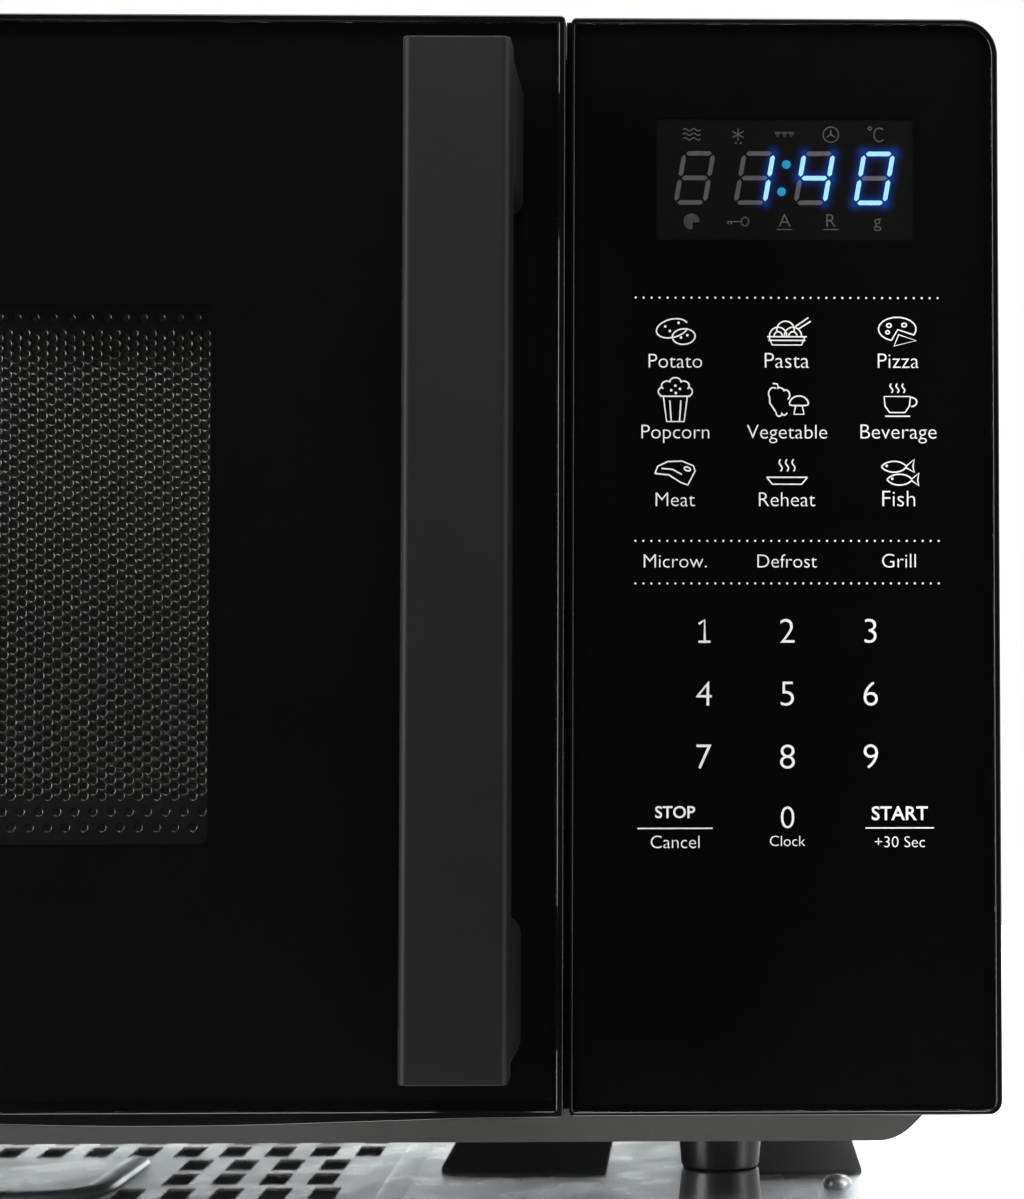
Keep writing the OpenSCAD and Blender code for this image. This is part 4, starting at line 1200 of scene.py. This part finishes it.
make_symbols()

# %% [markdown]
# ## Feet, screws and underside
#
# The feet are soft mouldings with a slight taper and a rounded lower lip, spun from half a section. The
# pan has pressed beads that stiffen the thin sheet, and dark pads lie under it where shade falls: painted
# shade. Both show in the polished floor.

# %% Feet
def make_feet():
    for number in range(1, 5):
        low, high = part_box(f"foot_{number}")
        centre = ((low.x + high.x) / 2, (low.y + high.y) / 2, 0)
        r = (high.x - low.x) / 2 / MM
        profile = [(0, 0.5), (r - 3.6, 0.5), (r - 3.1, 0), (r - 1.9, 0), (r - 1.2, 0.25), (r - 0.85, 0.8),
            (r - 0.35, 6.2), (r - 0.1, 8.4), (r, 9.2), (r, 10.8), (3, 10.8), (3, 13.8), (0, 13.8)]
        place(spun(profile, centre, steps=48), f"foot_pad_{number}", "rubber", "cabinet",
            [f"foot_{number}"])
    print("feet made")


make_feet()

# %% Screws
pan_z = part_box("base_pan")[0].z


def screw(place_at, axis, head_r=3.6, head_h=2.0, shank=7.0):
    """A pan-head screw, its head pointing along axis."""
    angles = [math.radians(a) for a in range(0, 90, 15)]
    dome = [(head_r * math.cos(a), head_h * math.sin(a)) for a in angles]
    return spun([(0, -shank), (1.6, -shank), (1.6, 0), *dome, (0, head_h)], place_at, axis, 24)


def make_screws():
    bm = bmesh.new()
    back_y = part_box("rear_panel")[1].y
    for x in (-189, 189):
        for y in (-62, 120):
            join_into(bm, screw((x * MM, y * MM, pan_z), (0, 0, -1)))
    rear = [(x, 247) for x in (-205, 0, 205)] + [(-209, 130), (209, 130)] + [(x, 17) for x in (-180, 0, 170)]
    for x, z in rear:
        join_into(bm, screw((x * MM, back_y, z * MM), (0, 1, 0), shank=4.0))
    place(bm, "case_screws_pan_head", "zinc", "cabinet", ["case_screws"])


make_screws()
print("screws made")

# %% Ribs of the base pan, and pads of painted shade under it
BEAD = [(-96, -80), (-6, -80), (2, -77), (7, -71), (8, -62), (9, -26)]
BEAD_R = 3.4 * MM
# dark pads where shade falls under the pan: painted shade
SHADE_PADS = (((89, 131), (-45, 58)), ((166, 196), (-50, 58)), ((-120, -60), (112, 140)))


def add_bead(bm, points, height):
    """A pressed bead: a round line in the plane of the pan, flattened."""
    mesh = line_mesh([[(x * MM, y * MM, 0) for x, y in points]], BEAD_R, 4)
    mesh.transform(Matrix.Translation((0, 0, pan_z)) @ Matrix.Diagonal((1, 1, height, 1)))
    add_mesh(bm, mesh)


def make_ribs():
    bm = bmesh.new()
    add_bead(bm, BEAD, 0.55)
    add_bead(bm, [(80 + x, y) for x, y in ((0, -118), (0, -10), (2, 50))], 0.10)
    add_bead(bm, [(-178, -60), (-178, 100)], 0.4)
    add_bead(bm, [(-150, 146), (150, 146)], 0.4)
    # the beads share the brighter copy of the pan sheet: painted light
    place(bm, "pan_ribs", "pan_sheet_painted_light", "cabinet", slot="galvanised")


def make_shade_pads():
    """Dark pads under the pan where shade falls: painted shade."""
    bm = bmesh.new()
    for x, y in SHADE_PADS:
        part = bmesh.new()
        edges = block(part, [v * MM for v in x], [v * MM for v in y], (pan_z - 1.1 * MM, pan_z + 0.2 * MM))
        soften(part, [e for e in edges if along(e, 2)], 5 * MM, 5)
        soften(part, [e for e in part.edges if middle_of(e).z < pan_z - 1.0 * MM], 0.5 * MM, 2)
        join_into(bm, part)
    place(bm, "pan_shade_pads", "painted_shade_pad", "cabinet", slot="rubber")


make_ribs()
make_shade_pads()
print("ribs and mats made")

# %% [markdown]
# ## Floor
#
# The oven stands on a polished pale sheet that mirrors the white room. It isn't part of the oven, so it
# is only staged. The sheet ends a hand's width before the door: further on, it would show as a grey
# veil in the lower half of the black glass.

# %% Floor
FLOOR_FRONT = -0.26
FLOOR_SIZE = 3  # half its width


def make_floor():
    gloss = finish("floor_gloss", (0.97, 0.97, 0.97), 0.03, 0.94)
    drive(gloss, noise(gloss, 6, 3), "Roughness", 0.02, 0.045)
    bm = bmesh.new()
    bmesh.ops.create_grid(bm, x_segments=1, y_segments=1, size=FLOOR_SIZE)
    bmesh.ops.translate(bm, vec=(0, FLOOR_SIZE + FLOOR_FRONT, 0), verts=bm.verts)
    floor = bpy.data.objects.new("floor", mesh_of(bm, "floor"))
    floor.data.materials.append(gloss)
    bpy.context.scene.collection.objects.link(floor)


make_floor()
